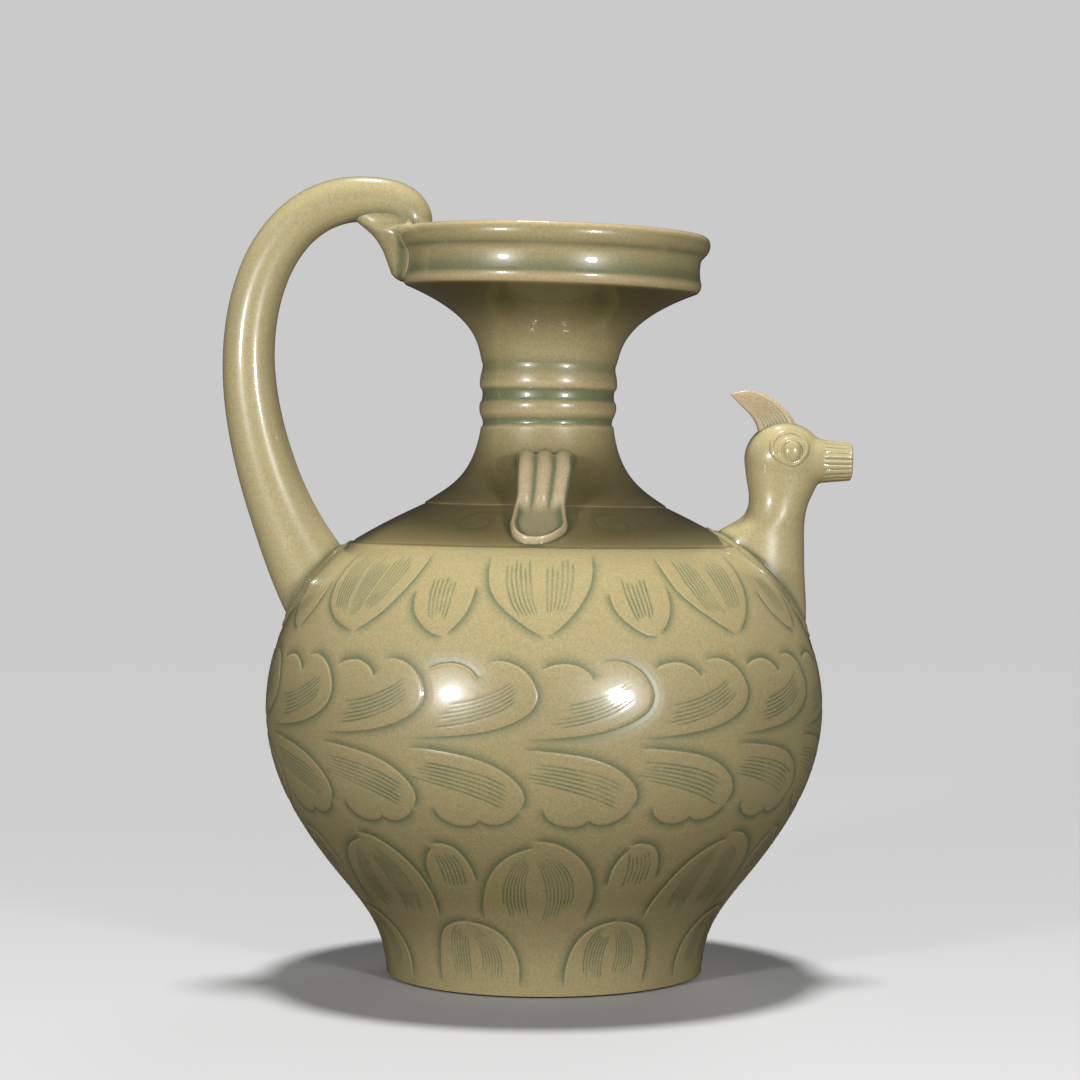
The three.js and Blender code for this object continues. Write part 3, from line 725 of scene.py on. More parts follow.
def newGroup(name, inputs, outputs):
    tree = bpy.data.node_groups.new(name, "ShaderNodeTree")
    for direction, sockets in (("INPUT", inputs), ("OUTPUT", outputs)):
        for label, kind in sockets.items():
            tree.interface.new_socket(name=label, in_out=direction, socket_type=f"NodeSocket{kind}")
    return tree, tree.nodes.new("NodeGroupInput").outputs, tree.nodes.new("NodeGroupOutput")


glazeLook = {
    # Scale and detail
    "noises": {"cloud": (28, 4), "speckle": (1400, 2), "cast": (800, 3), "ripple": (260, 3)},
    "drift": 0.16,
    # Glaze thickness where each colour starts and where it is full
    "thin": (0.45, 0.05),
    "pooled": (0.5, 1),
    "noiseSpan": (0.3, 0.7),
    "grain": (0.87, 1.13),
    "castSpan": (0.35, 0.65),
    "warm": (1.05, 0.99, 0.98, 1),
    "green": (0.94, 1.01, 1, 1),
    # Colour that the darkening by height multiplies in: partly thicker glaze, partly painted shade
    "deepest": (0.33, 0.31, 0.21, 1),
    "roughness": (0.3, 0.38),
    "rippleHeight": 0.035,
    "shader": {"IOR": 1.5, "Coat Weight": 0.8, "Coat Roughness": 0.06},
}
# Colours where the glaze ran thin, on plain walls and where it pooled
glazeColours = {
    "bodyGlaze": ((0.5, 0.385, 0.215), (0.37, 0.305, 0.155), (0.17, 0.185, 0.1)),
    "paleGlaze": ((0.56, 0.445, 0.27), (0.47, 0.395, 0.21), (0.21, 0.22, 0.115)),
    "thinGlaze": ((0.65, 0.5, 0.3), (0.5, 0.4, 0.24), (0.17, 0.185, 0.1)),
}
carvingLook = {
    "gapSpan": (-1.5, 5),
    # Distance in front of an edge, and the glaze gathered or run off there, or the height cut away
    "gathered": [(-0.2, 0), (0.1, 0.5), (0.6, 0.43), (1.1, 0.31), (1.9, 0.2), (3.2, 0.1), (5, 0)],
    "runOff": [(-1.1, 0), (-0.55, 0.16), (-0.22, 0.22), (-0.05, 0), (5, 0)],
    "step": [(-0.3, 0), (0.08, 0.035), (0.5, 0.03), (2, 0), (5, 0)],
    # Distance from the middle of a comb stroke, in strokes, and how much of it is left there
    "stroke": [(0, 1), (0.12, 0.85), (0.28, 0.25), (0.42, 0), (0.5, 0)],
    "wearScale": 90,
    "wear": [(0.3, 0.35), (0.7, 0.9)],
    "strokeGlaze": 0.54,
    "combGlaze": 0.06,
    "strokeHeight": -0.02,
}


def glazeGroup():
    look = glazeLook
    colours = {"Thin": "Color", "Wall": "Color", "Pooled": "Color"}
    tree, entry, leaving = newGroup("celadonGlaze", {"Glaze": "Float", "DeepAndShade": "Float", **colours},
                                    {"Colour": "Color", "Roughness": "Float", "Height": "Float"})
    cloud, speckle, cast, ripple = (noise(tree, *settings) for settings in look["noises"].values())
    level = calculate(tree, "MULTIPLY_ADD", cloud, look["drift"], entry["Glaze"])
    level = calculate(tree, "SUBTRACT", level, look["drift"] / 2)
    thin, pooled = (mapped(tree, level, span, interpolation_type="SMOOTHSTEP")
                    for span in (look["thin"], look["pooled"]))
    colour = mixed(tree, pooled, mixed(tree, thin, entry["Wall"], entry["Thin"]), entry["Pooled"])
    # Fine grains, some light, some dark, with a warm or a green cast
    grain = mapped(tree, speckle, look["noiseSpan"], look["grain"])
    grained = addNode(tree, "VectorMath", {"Vector": colour, "Scale": grain}, operation="SCALE")
    colour = grained.outputs["Vector"]
    tint = mixed(tree, mapped(tree, cast, look["castSpan"]), look["warm"], look["green"])
    # Darkened by height towards the deepest colour: partly thicker glaze, partly painted shade
    depth = mixed(tree, entry["DeepAndShade"], (1, 1, 1, 1), look["deepest"])
    for veil in (tint, depth):
        colour = calculate(tree, "MULTIPLY", colour, veil, kind="VectorMath")
    feed(tree, leaving, {
        "Colour": colour,
        "Roughness": mapped(tree, cloud, look["noiseSpan"], look["roughness"]),
        "Height": calculate(tree, "MULTIPLY", ripple, look["rippleHeight"]),
    })
    return tree


def carvingGroup():
    # Glaze gathered in the cuts and run off their edges, and the relief too fine for the mesh
    look = carvingLook
    tree, entry, leaving = newGroup("carvedLines", dict.fromkeys(carvingFields, "Float"),
                                    {"Amount": "Float", "Height": "Float"})
    gap, weight, phase, mask = (entry[name] for name in carvingFields)
    gathered, runOff, step = (ramp(tree, gap, look["gapSpan"], stops)
                              for stops in (look["gathered"], look["runOff"], look["step"]))
    edges = calculate(tree, "MULTIPLY", calculate(tree, "SUBTRACT", gathered, runOff), weight)
    turn = calculate(tree, "FRACT", calculate(tree, "ADD", phase, 0.5))
    offset = calculate(tree, "ABSOLUTE", calculate(tree, "SUBTRACT", turn, 0.5))
    wear = ramp(tree, noise(tree, look["wearScale"]), glazeLook["noiseSpan"], look["wear"])
    stroke = calculate(tree, "MULTIPLY", ramp(tree, offset, (0, 0.5), look["stroke"]), wear)
    stroke = calculate(tree, "MULTIPLY", stroke, mask)
    ground = calculate(tree, "MULTIPLY", mask, look["combGlaze"])
    combs = calculate(tree, "MULTIPLY_ADD", stroke, look["strokeGlaze"], ground)
    step = calculate(tree, "MULTIPLY", calculate(tree, "MULTIPLY", step, weight), -1)
    feed(tree, leaving, {
        "Amount": calculate(tree, "ADD", edges, combs),
        "Height": calculate(tree, "MULTIPLY_ADD", stroke, look["strokeHeight"], step),
    })
    return tree


def glazed(name, group, carving=None):
    material = bpy.data.materials.new(name)
    material.use_nodes = True
    tree = material.node_tree
    amount, raised = readField(tree, "glaze"), 0
    if carving:
        lines = addNode(tree, "Group", node_tree=carving)
        feed(tree, lines, {name: readField(tree, name) for name in carvingFields})
        amount = calculate(tree, "ADD", amount, lines.outputs["Amount"])
        raised = lines.outputs["Height"]
    colours = {label: (*colour, 1) for label, colour in zip(("Thin", "Wall", "Pooled"), glazeColours[name])}
    glaze = addNode(tree, "Group", node_tree=group)
    # The darkening by height comes in here: partly thicker glaze, partly painted shade
    feed(tree, glaze, {"Glaze": amount, "DeepAndShade": readField(tree, "deepAndShade"), **colours})
    height = calculate(tree, "ADD", glaze.outputs["Height"], raised)
    bump = addNode(tree, "Bump", {"Distance": mm, "Height": height})
    feed(tree, tree.nodes["Principled BSDF"], {
        **glazeLook["shader"],
        "Base Color": glaze.outputs["Colour"],
        "Roughness": glaze.outputs["Roughness"],
        "Normal": bump.outputs["Normal"],
    })
    return material


glaze = glazeGroup()
bodyGlaze = glazed("bodyGlaze", glaze, carvingGroup())
paleGlaze, thinGlaze = glazed("paleGlaze", glaze), glazed("thinGlaze", glaze)

# Handle

handle = {
    "start": (-75.52, 130.23),
    "side": (-109.35, 222.0),
    "apex": (-68.95, 278.75),
    "nose": (-51.2, 265.8),
    "thickness": 19.0,
    "bends": {
        "rise": ((0.573, 0.286), (1, 0.683)),
        "arch": ((0, 0.58), (0.386, 1)),
        "nose": ((0.75, 0), (1, 0.25)),
    },
    # Shares of the length, and the handle's size there as a share of its thickness
    "girth": [
        (0, 1.78), (0.07, 1.58), (0.2, 1.22), (0.35, 1.08), (0.5, 0.99), (0.7, 0.945), (0.86, 0.87),
        (0.97, 0.87),
    ],
    "width": [(0, 1.35), (0.07, 1.28), (0.2, 1.12), (0.5, 1.02), (0.86, 0.95), (0.97, 0.86)],
    "stations": [*np.linspace(0, 0.8, 14), 0.85, 0.9, 0.94, 0.97, 0.985, 0.998],
    # Length of the rounded nose, and the square of its smallest size
    "noseLength": 0.025,
    "bluntness": 0.04,
    # Share of the length over which the path's direction is taken
    "reach": 0.004,
}


def makeHandle():
    bends = handle["bends"]
    path = joinLines(
        bendLine(handle["start"], handle["side"], bends["rise"]),
        bendLine(handle["side"], handle["apex"], bends["arch"]),
        bendLine(handle["apex"], handle["nose"], bends["nose"]),
    )
    sections = []
    for place in handle["stations"]:
        intoNose = max(place - 1 + handle["noseLength"], 0) / handle["noseLength"]
        half = handle["thickness"] / 2 * math.sqrt(max(1 - intoNose**2, handle["bluntness"]))
        girth, width = lookUp(place, handle["girth"]), lookUp(place, handle["width"])
        sections.append((0, place, girth * half, width * half))
    piece = extrudedRod("handle", sections)
    modify(piece, "SUBSURF", levels=2, render_levels=2)
    # The straight rod, whose z runs from 0 to 1, is bent onto the path
    out, side, share = coordinates(piece).T
    length = lengthAlong(path)[-1]
    centre = readLine(path, share * length)
    reach = length * handle["reach"]
    ahead = readLine(path, share * length + reach) - readLine(path, share * length - reach)
    ahead /= np.linalg.norm(ahead, axis=1)[:, None]
    bent = [centre[:, 0] + ahead[:, 1] * out, side, centre[:, 1] - ahead[:, 0] * out]
    moveTo(piece, np.column_stack(bent))
    return piece


# Bird

bird = {
    # Height, front, back and half width of the neck
    "neck": [
        (120, 95, 62, 12.8), (128, 95.8, 62, 12.8), (136, 95.7, 61.5, 12.7), (144, 95, 61, 12.6),
        (152, 94.8, 60.5, 12.4), (158, 94.7, 60.5, 12.1), (161, 94.6, 62, 11.85), (163.5, 94.6, 66.5, 11.6),
        (166.2, 94.7, 71.5, 11.3), (169.5, 95.1, 73.6, 10.95), (173, 96, 74.1, 10.7), (177, 98, 73.7, 10.8),
        (181, 99.5, 72.8, 11.2), (185, 100.5, 72.2, 11.7), (189, 100.8, 72.1, 11.8), (193, 99.5, 73.8, 11),
        (197, 96.5, 77.6, 8.5),
    ],
    "head": {"centre": (86.5, 0, 188.7), "radii": (14.5, 12.3, 13.9)},
    "snout": [(86, 11.8), (90, 11.6), (93.5, 10.7), (96.5, 9.5), (99, 8.7), (101.5, 7.8), (104.5, 6.6)],
    "snoutHeight": 188.3,
    "voxel": 0.42,
    "softening": 36,
}
beak = {
    "profile": [
        (96, 5.6), (96.6, 7.4), (97.6, 8.15), (98.8, 8.3), (100.4, 8.15), (102.6, 7.85), (106.5, 7.45),
        (110, 7.1), (110.75, 6.85), (111.05, 6.3),
    ],
    "inside": [(111.05, 4.6), (110.7, 4.1), (109.5, 4), (97, 4)],
    "flutes": 22,
    "fluteDepth": 0.34,
    "fluteSteps": 16,
    # Where the flutes and the bare end start, and over what length
    "fluteStart": (98.6, 4),
    "fluteEnd": (111.15, 0.7),
    "bareEnd": (110.2, 0.6),
    "root": (103.5, 3),
    "glaze": {"groove": 0.42, "ridge": -0.62, "end": -0.3, "root": 0.1},
    "channel": 4,
    "channelPath": [
        (114, 188.3), (106, 188.3), (97, 187.6), (89, 183), (84.6, 175), (82.5, 163), (80, 148), (77, 132),
    ],
}


def makeBird():
    sections = [((front + back) / 2, height, (front - back) / 2, width)
                for height, front, back, width in bird["neck"]]
    neck = extrudedRod("spout_bird", sections)
    modify(neck, "SUBSURF", levels=2, render_levels=2)
    head = ellipsoid("head", bird["head"]["centre"], bird["head"]["radii"])
    snout = extrudedRod("snout", [(0, x, radius, radius) for x, radius in bird["snout"]], 48)
    points = coordinates(snout)
    moveTo(snout, np.column_stack([points[:, 2], points[:, 1], bird["snoutHeight"] - points[:, 0]]))
    faceOutward(snout)
    # Luted into one skin, with softened joints
    piece = joined("spout_bird", [neck, head, snout])
    modify(piece, "REMESH", mode="VOXEL", voxel_size=bird["voxel"], use_smooth_shade=True)
    return modify(piece, "SMOOTH", factor=0.5, iterations=bird["softening"])


def makeBeak():
    # A fluted tube round the channel's mouth
    profile = smoothLine(beak["profile"], 60)
    steps = beak["flutes"] * beak["fluteSteps"]
    turn = np.linspace(0, 2 * math.pi, steps, endpoint=False)
    ridge = np.abs(np.cos(beak["flutes"] / 2 * turn)) ** 0.8
    glaze = beak["glaze"]
    corners, glazing = [], []
    for index, (x, radius) in enumerate([*profile, *beak["inside"]]):
        outside = index < len(profile)
        start, stop, end, root = (
            clamped(way * (x - beak[key][0]) / beak[key][1])
            for key, way in (("fluteStart", 1), ("fluteEnd", -1), ("bareEnd", 1), ("root", -1)))
        fade = start**0.8 * outside * stop
        wave = radius + beak["fluteDepth"] * fade * (ridge - 0.6)
        fluted = fade * (glaze["groove"] + glaze["ridge"] * ridge)
        glazing += list(fluted + glaze["end"] * end * (radius > 5) + glaze["root"] * root)
        corners += [(x, r * math.cos(a), bird["snoutHeight"] + r * math.sin(a)) for r, a in zip(wave, turn)]
    return ringSkin("spout_beak", corners, steps, closed=True, glazing=glazing)


def boreChannel(piece):
    deselectAll()
    bpy.ops.curve.primitive_bezier_curve_add()
    curve = bpy.context.object.data
    spline = curve.splines[0]
    spline.bezier_points.add(len(beak["channelPath"]) - len(spline.bezier_points))
    for knot, (x, z) in zip(spline.bezier_points, beak["channelPath"]):
        knot.co = (x, 0, z)
        knot.radius = beak["channel"]
        knot.handle_left_type = knot.handle_right_type = "AUTO"
    curve.dimensions = "3D"
    curve.bevel_depth = 1
    curve.bevel_resolution = 6
    curve.resolution_u = 8
    curve.use_fill_caps = True
    bpy.ops.object.convert(target="MESH")
    drill = bpy.context.object
    modify(piece, "BOOLEAN", object=drill, operation="DIFFERENCE", solver="EXACT")
    bpy.data.objects.remove(drill)


# Comb on the bird's head: rear and front edges, back and up from the head's middle

crest = {
    "middle": (86.5, 188.7),
    "rear": [(-8.9, 6), (-10.3, 12), (-12.5, 15.8), (-15.8, 19.1), (-20.2, 23.4)],
    "front": [(4.8, 10.8), (1.2, 17.3), (-6, 23), (-13.2, 25.1), (-19.9, 23.8)],
    "thickness": [6.6, 6, 5, 3.4, 1.5],
    "rows": 33,
    "steps": 144,
    "flutes": 8,
    "fluteDepth": 0.26,
    # Shares of the width left plain beside the flutes, and of the rounded rim
    "border": 0.13,
    "rim": 0.05,
    # Shares of its length between which the flutes run out
    "fade": (0.45, 0.97),
    "thinEnd": 3,
    "glaze": {"all": -0.24, "groove": 0.34, "border": 0.12, "rim": -0.16},
}


def makeCrest():
    rows, steps = crest["rows"], crest["steps"]
    rear, front = smoothLine(crest["rear"], rows), smoothLine(crest["front"], rows)
    along = np.linspace(0, 1, rows)
    thickness = np.interp(along, np.linspace(0, 1, len(crest["thickness"])), crest["thickness"])
    turn = np.linspace(0, math.pi, steps + 1)
    share, arch = (1 - np.cos(turn)) / 2, np.sin(turn) ** 0.5
    fluted = clamped((share - crest["border"]) / (1 - 2 * crest["border"]))
    wave = (1 - np.cos(2 * math.pi * crest["flutes"] * fluted)) / 2
    rim = clamped(np.minimum(share, 1 - share) / crest["rim"])
    glaze, (middleX, middleZ) = crest["glaze"], crest["middle"]
    fades = clamped((crest["fade"][1] - along) / (crest["fade"][1] - crest["fade"][0]))
    corners, glazing = [], []
    for start, end, thick, fade in zip(rear, front, thickness, fades):
        line = start + (end - start) * share[:, None]
        amount = glaze["groove"] * wave * fade + glaze["all"] + glaze["border"] * rim * fade
        amount += glaze["rim"] * (1 - rim)
        glazing += [*amount, *amount[-2:0:-1]]
        depth = crest["fluteDepth"] * fade * min(thick / crest["thinEnd"], 1)
        rise = np.maximum(thick / 2 * arch - depth * wave, 0)
        skin = [(x + middleX, y, z + middleZ) for (x, z), y in zip(line, rise)]
        corners += [(x, -y, z) for x, y, z in skin] + skin[-2:0:-1]
    return ringSkin("spout_crest", corners, 2 * steps, glazing=glazing)


# Neck and dish

neck = {
    "waist": (24.25, 197.4),
    "throat": (24.2, 220.5),
    "bore": 19.2,
    "ribs": [
        (24.25, 197.4), (24.15, 198.1), (23.65, 198.6), (23.5, 199.4), (23.6, 200.4), (24, 201.5),
        (24.55, 202.8), (24.9, 204.4), (24.9, 205.9), (24.65, 206.9), (24.2, 207.6), (24, 208.5),
        (23.95, 210.2), (24.15, 211.3), (24.65, 212), (24.95, 213), (25, 214.4), (24.8, 216.2),
        (24.45, 217.8), (24.2, 219.3), (24.2, 220.5),
    ],
    "spacing": 0.4,
    "spinSteps": 320,
    # Height and glaze, from the foot of the neck up
    "glaze": [
        (168.6, 0.75), (169.6, 0.3), (170.6, 0.28), (171.8, 0.48), (174, 0.6), (186, 0.5), (195, 0.46),
        (196.6, 0.34), (197.6, 0.16), (198.2, 0.2), (198.8, 0.85), (200.4, 0.95), (201.4, 0.75),
        (202.2, 0.3), (203.2, 0.12), (205, 0.3), (206.4, 0.42), (207.2, 0.7), (208, 0.95), (210.6, 1),
        (211.4, 0.9), (211.9, 0.35), (212.6, 0.12), (214, 0.22), (215.4, 0.45), (216.8, 0.6), (218.4, 0.78),
        (220.5, 0.76),
    ],
}
dish = {
    # Outside from the lower corner up, over the lip and down inside
    "wall": [
        (53.2, 248.2), (54.1, 249.6), (54.35, 251.4), (53.95, 253), (53.7, 255.5), (53.75, 258), (54.1, 260),
        (55.2, 261.4), (56.6, 263.2), (57.15, 265.4), (56.7, 267.4), (55.4, 268.5), (53.6, 268.45),
        (52, 267.4), (51.2, 264.5), (50.9, 260), (49.6, 256), (46.8, 253.2),
    ],
    "spacing": 0.5,
    "spinSteps": 360,
    "glaze": [
        (220.5, 0.76), (222, 0.66), (224, 0.56), (236, 0.56), (244, 0.66), (247.2, 0.62), (248.2, 0.4),
        (248.8, 0.1), (250, 0.05), (250.8, 0.2), (251.4, 0.5), (252, 0.8), (252.8, 0.9), (254.4, 0.84),
        (256, 0.7), (258, 0.58), (260, 0.52), (260.8, 0.6), (261.4, 0.86), (261.9, 0.7), (262.6, 0.56),
        (264, 0.54), (266.4, 0.5), (267.3, 0.3), (267.8, 0.08), (268.6, 0.04),
    ],
}
dishWall = smoothLine(dish["wall"], 160)


def makeNeck():
    # Its foot overlaps the body's collar a little, outside and inside
    radius, height = vessel["collar"]
    bore = (neck["bore"], neck["waist"][1])
    flare = bendLine((radius + 0.22, height + 0.35), neck["waist"], vesselBends["neck"])
    outside = evenly(joinLines(flare, smoothLine(neck["ribs"], 200)), neck["spacing"])
    base = [(radius - 4, height - 1), (radius + 0.1, height - 0.6)]
    inside = bendLine((35, height - 1), bore, vesselBends["neck"], 12)[::-1]
    outline = [*base, *outside, (neck["bore"], neck["throat"][1]), *inside]
    return turned("neck", outline, neck["spinSteps"])


def makeDish():
    flare = bendLine(neck["throat"], dish["wall"][0], vesselBends["flare"])
    throat = (neck["bore"], neck["throat"][1])
    floor = bendLine(throat, dish["wall"][-1], vesselBends["flare"], 40)[::-1]
    outline = evenly(joinLines(flare, dishWall, floor), dish["spacing"])
    return turned("dish_mouth", outline, dish["spinSteps"])


# Clasp where the handle is pressed round the dish: a tongue, with a channel that runs out onto the dish

clasp = {
    # Height, outermost reach at the middle, half width of the tongue and of the whole
    "reach": [
        (249.6, 55.2, 5.5, 12), (250.6, 57.2, 7, 14), (252, 58.4, 8.2, 15.4), (254.5, 59.4, 9.2, 16),
        (257, 60.4, 9.8, 16.3), (260, 61.6, 10.3, 17), (263, 63.4, 10.6, 18.6), (265.5, 65.4, 10.6, 19.4),
        (267.2, 67.3, 10.5, 16.8), (268.6, 69.1, 9.9, 11.6), (270, 71, 8.9, 9.4), (271.5, 72.9, 8.1, 8.5),
        (273.2, 74.4, 7.3, 7.7), (275, 75, 6.5, 6.9), (277, 74.8, 5.6, 6),
    ],
    "inner": 51.6,
    "foot": 57.3,
    # Radius round which it bends, and the dish's radius over the lip
    "bend": 57.3,
    "overLip": 56.4,
    "overlap": 0.22,
    # Heights, and how square the tongue is across there
    "fullness": ((262, 272), (0.8, 0.5)),
    # Heights, and the share of the half width that is rounded off there
    "rounding": ((264, 267.6), (0.03, 0.75)),
    "topDrop": 2,
    # Middle and width of the channel, as shares of the way from the tongue to the side
    "channel": (0.35, 0.32),
    "glaze": {"channel": 0.5, "crown": -0.2, "ends": -0.3},
    "rows": 73,
    "columns": 97,
    "smoothing": 4,
}


def makeClasp():
    heights, reaches, halves, spreads = zip(*clasp["reach"])
    rising = dishWall[: np.argmax(dishWall[:, 0]) + 1]
    low, high = heights[0], heights[-1]
    across = np.sin(np.linspace(-math.pi / 2, math.pi / 2, clasp["columns"]))
    glaze = clasp["glaze"]
    corners, glazing = [], []
    for rise in np.linspace(0, 1, clasp["rows"]):
        height = low + (high - clasp["topDrop"] * across**2 - low) * rise
        reach, half, spread = (np.interp(height, heights, values) for values in (reaches, halves, spreads))
        away = np.abs(across) * spread
        wall = np.interp(height, rising[:, 1], rising[:, 0], right=clasp["overLip"]) + clasp["overlap"]
        foot = np.minimum(np.maximum(wall, clasp["foot"]), reach)
        beyond = clamped((away - half) / np.maximum(spread - half, 0.3))
        bell = clamped(1 - (away / half) ** 2) ** np.interp(height, *clasp["fullness"])
        inward = clamped((1 - np.abs(across)) / np.interp(height, *clasp["rounding"]))
        edge = np.sqrt(1 - (1 - inward) ** 2)
        radius = wall + (foot - wall) * (1 - beyond) ** 2 + (reach - foot) * bell
        radius = clasp["inner"] + (radius - clasp["inner"]) * (0.3 + 0.7 * edge)
        # Glaze gathers in the channel beside the tongue, and leaves the tongue's crown and the ends
        intoChannel = ((away - half) / (spread - half + 0.3) - clasp["channel"][0]) / clasp["channel"][1]
        channel = np.exp(-(intoChannel**2)) * (spread - half > 2)
        ends = clamped(beyond * 5 - 4)
        glazing += list(glaze["channel"] * channel + glaze["crown"] * bell + glaze["ends"] * ends)
        glazing += [0] * len(across)
        turn = across * spread / clasp["bend"]
        outer, inner = (np.column_stack([-size * np.cos(turn), size * np.sin(turn), height])
                        for size in (radius, clasp["inner"]))
        corners += [*outer, *inner[::-1]]
    return ringSkin("handle_clasp", corners, 2 * len(across), glazing=glazing, smoothing=clasp["smoothing"])


# Lugs: a strap of three coils, pressed flat into a hollow tongue on the shoulder

lug = {
    # Distance from the axis and height of the strap's middle, from inside the neck to the tongue's tip
    "path": [
        (20, 183.2), (26, 185.4), (32, 186.2), (37.6, 185.7), (42, 183), (45, 178.4), (47.2, 173.2),
        (50, 169.2), (54, 166.2), (59, 163.1), (64, 160.1), (68.4, 157.2),
    ],
    # Share along the path, width and sideways place
    "width": [(0, 19.8), (0.4, 19.6), (0.52, 18.4), (0.62, 17.7), (0.7, 18.6), (0.8, 19.8), (1, 19.8)],
    "shift": [(0, -0.5), (0.4, -0.6), (0.55, -1.3), (0.65, -2), (0.85, -2.3), (1, -4)],
    "coils": 3,
    "coil": 3.1,
    "valley": 0.6,
    # Shares between which the coils run out into the tongue, and where its round tip starts
    "blend": (0.55, 0.7),
    "tipStart": 0.8,
    "rim": {"height": 2, "inset": 0.95, "width": 0.8, "floor": 0.3, "edge": 0.35},
    "sunk": 1.6,
    "glaze": {
        "valley": 0.85, "crown": -0.12, "side": 0.25, "hollow": (0.22, 0.25), "rim": -0.32, "back": 0.2,
    },
    # Sections along the strap and along its tip, and points across
    "sections": (90, 45),
    "columns": 73,
    "smoothing": 2,
}


def lugHeights(across, half, fullHalf, beyond, share):
    # Heights of the strap's face and back over its path, and its glaze, for places across from -1 to 1
    lobe = (across + 1) * lug["coils"] / 2 % 1
    lobe = np.sqrt(clamped(1 - (2 * lobe - 1) ** 2))
    coils = lug["coil"] * np.maximum(lobe, lug["valley"] * (1 - np.abs(across) ** 8))
    rim = lug["rim"]
    inset = (1 - np.hypot(across * half / fullHalf, beyond)) * fullHalf
    slope = np.exp(-(((inset - rim["inset"]) / rim["width"]) ** 2))
    outer = rim["edge"] + (rim["height"] - rim["edge"]) * np.sin(clamped(inset / rim["inset"]) * math.pi / 2)
    tongue = np.where(inset < rim["inset"], outer, rim["floor"] + (rim["height"] - rim["floor"]) * slope)
    start, end = lug["blend"]
    blend = clamped((share - start) / (end - start))
    blend = blend**2 * (3 - 2 * blend)
    face = coils * (1 - blend) + tongue * blend
    back = -coils * (1 - blend) - lug["sunk"] * blend
    # Glaze gathers between the coils, in the tongue's hollow and down the sides, and leaves the rim
    glaze = lug["glaze"]
    level, ring = glaze["hollow"]
    hollow = clamped((inset - 1.2) / 0.8) * (level + ring * np.exp(-((inset - 2.2) / 1.6) ** 2))
    onTongue = hollow + glaze["rim"] * np.exp(-(((inset - rim["inset"] * 0.8) / 0.55) ** 2))
    onCoils = glaze["valley"] * clamped(1.2 - lobe * 1.25) + glaze["crown"] * lobe
    onCoils += glaze["side"] * clamped(np.abs(across) * 8 - 7)
    return face, back, (1 - blend) * onCoils + blend * onTongue


def makeLug(name, side):
    path = smoothLine(lug["path"], 400)
    length = lengthAlong(path)[-1]
    tipStart, (strapSections, tipSections) = lug["tipStart"], lug["sections"]
    strap = np.linspace(0, tipStart, strapSections, endpoint=False)
    # Closer together towards the end of the tip
    tip = 1 - (1 - tipStart) * np.linspace(1, 0.02, tipSections) ** 1.6
    across = np.sin(np.linspace(-math.pi / 2, math.pi / 2, lug["columns"]))
    corners, glazing = [], []
    for share in (*strap, *tip):
        place = share * length
        centre, after, before = readLine(path, [place, place + 0.5, place - 0.5])
        ahead = (after - before) / np.linalg.norm(after - before)
        outward = np.array([-ahead[1], ahead[0]])
        fullHalf = lookUp(share, lug["width"]) / 2
        beyond = max(share - tipStart, 0) / (1 - tipStart)
        half = fullHalf * math.sqrt(max(1 - beyond**2, 0.0001))
        middle = lookUp(share, lug["shift"])
        face, back, pooled = lugHeights(across, half, fullHalf, beyond, share)
        glazing += [*pooled, *np.full(len(across) - 2, lug["glaze"]["back"])]
        for x, height in [*zip(across, face), *zip(across[-2:0:-1], back[-2:0:-1])]:
            radius, z = centre + outward * height
            corners.append((middle + half * x, side * radius, z))
    return ringSkin(name, corners, 2 * len(across) - 2, glazing=glazing, smoothing=lug["smoothing"])


# Eyes: a pellet inside two rings

eye = {
    "centre": (88.4, 191.3),
    "pellet": (3.2, 1.8, 4.1),
    # Middle, half width and half height, and thickness of the rings
    "rings": [((88.3, 191.4), (4.6, 4.8), 0.92), ((87.5, 193.1), (6.5, 5.9), 1.02)],
    # How deep the pellet and the rings sit in the head
    "sunk": (0.2, 0.5),
}


def cheek(x, z):
    cx, _, cz = bird["head"]["centre"]
    rx, ry, rz = bird["head"]["radii"]
    return ry * math.sqrt(max(1 - ((x - cx) / rx) ** 2 - ((z - cz) / rz) ** 2, 0))


def makeEye(name, side):
    x, z = eye["centre"]
    return ellipsoid(name, (x, side * (cheek(x, z) - eye["sunk"][0]), z), eye["pellet"])


def makeEyeRing(name, side):
    rings = []
    for (x, z), (width, height), thickness in eye["rings"]:
        deselectAll()
        bpy.ops.mesh.primitive_torus_add(major_segments=96, minor_segments=20, major_radius=width,
                                         minor_radius=thickness, rotation=(math.pi / 2, 0, 0))
        ring = bpy.context.object
        bpy.ops.object.transform_apply(location=True, rotation=True, scale=True)
        points = coordinates(ring) * (1, 1, height / width)
        rise = np.array([cheek(x + px, z + pz) for px, _, pz in points]) - eye["sunk"][1]
        moveTo(ring, np.column_stack([points[:, 0] + x, side * (points[:, 1] + rise), points[:, 2] + z]))
        rings.append(ring)
    return faceOutward(joined(name, rings))


# Root coils: a bead and a pressed band where a member leaves the body

rootCoil = {
    # Across the band and away from the skin
    "section": [
        (-1.4, -0.8), (-1.1, 0.3), (-0.5, 0.85), (0.2, 1), (0.9, 0.8), (1.4, 0.38), (2, 0.22), (2.6, 0.3),
        (3.2, 0.5), (3.8, 0.42), (4.3, 0.08), (4.6, -0.5), (2, -1), (-1.4, -0.8),
    ],
    "sectionPoints": 48,
    "around": 160,
    "smoothing": 6,
}


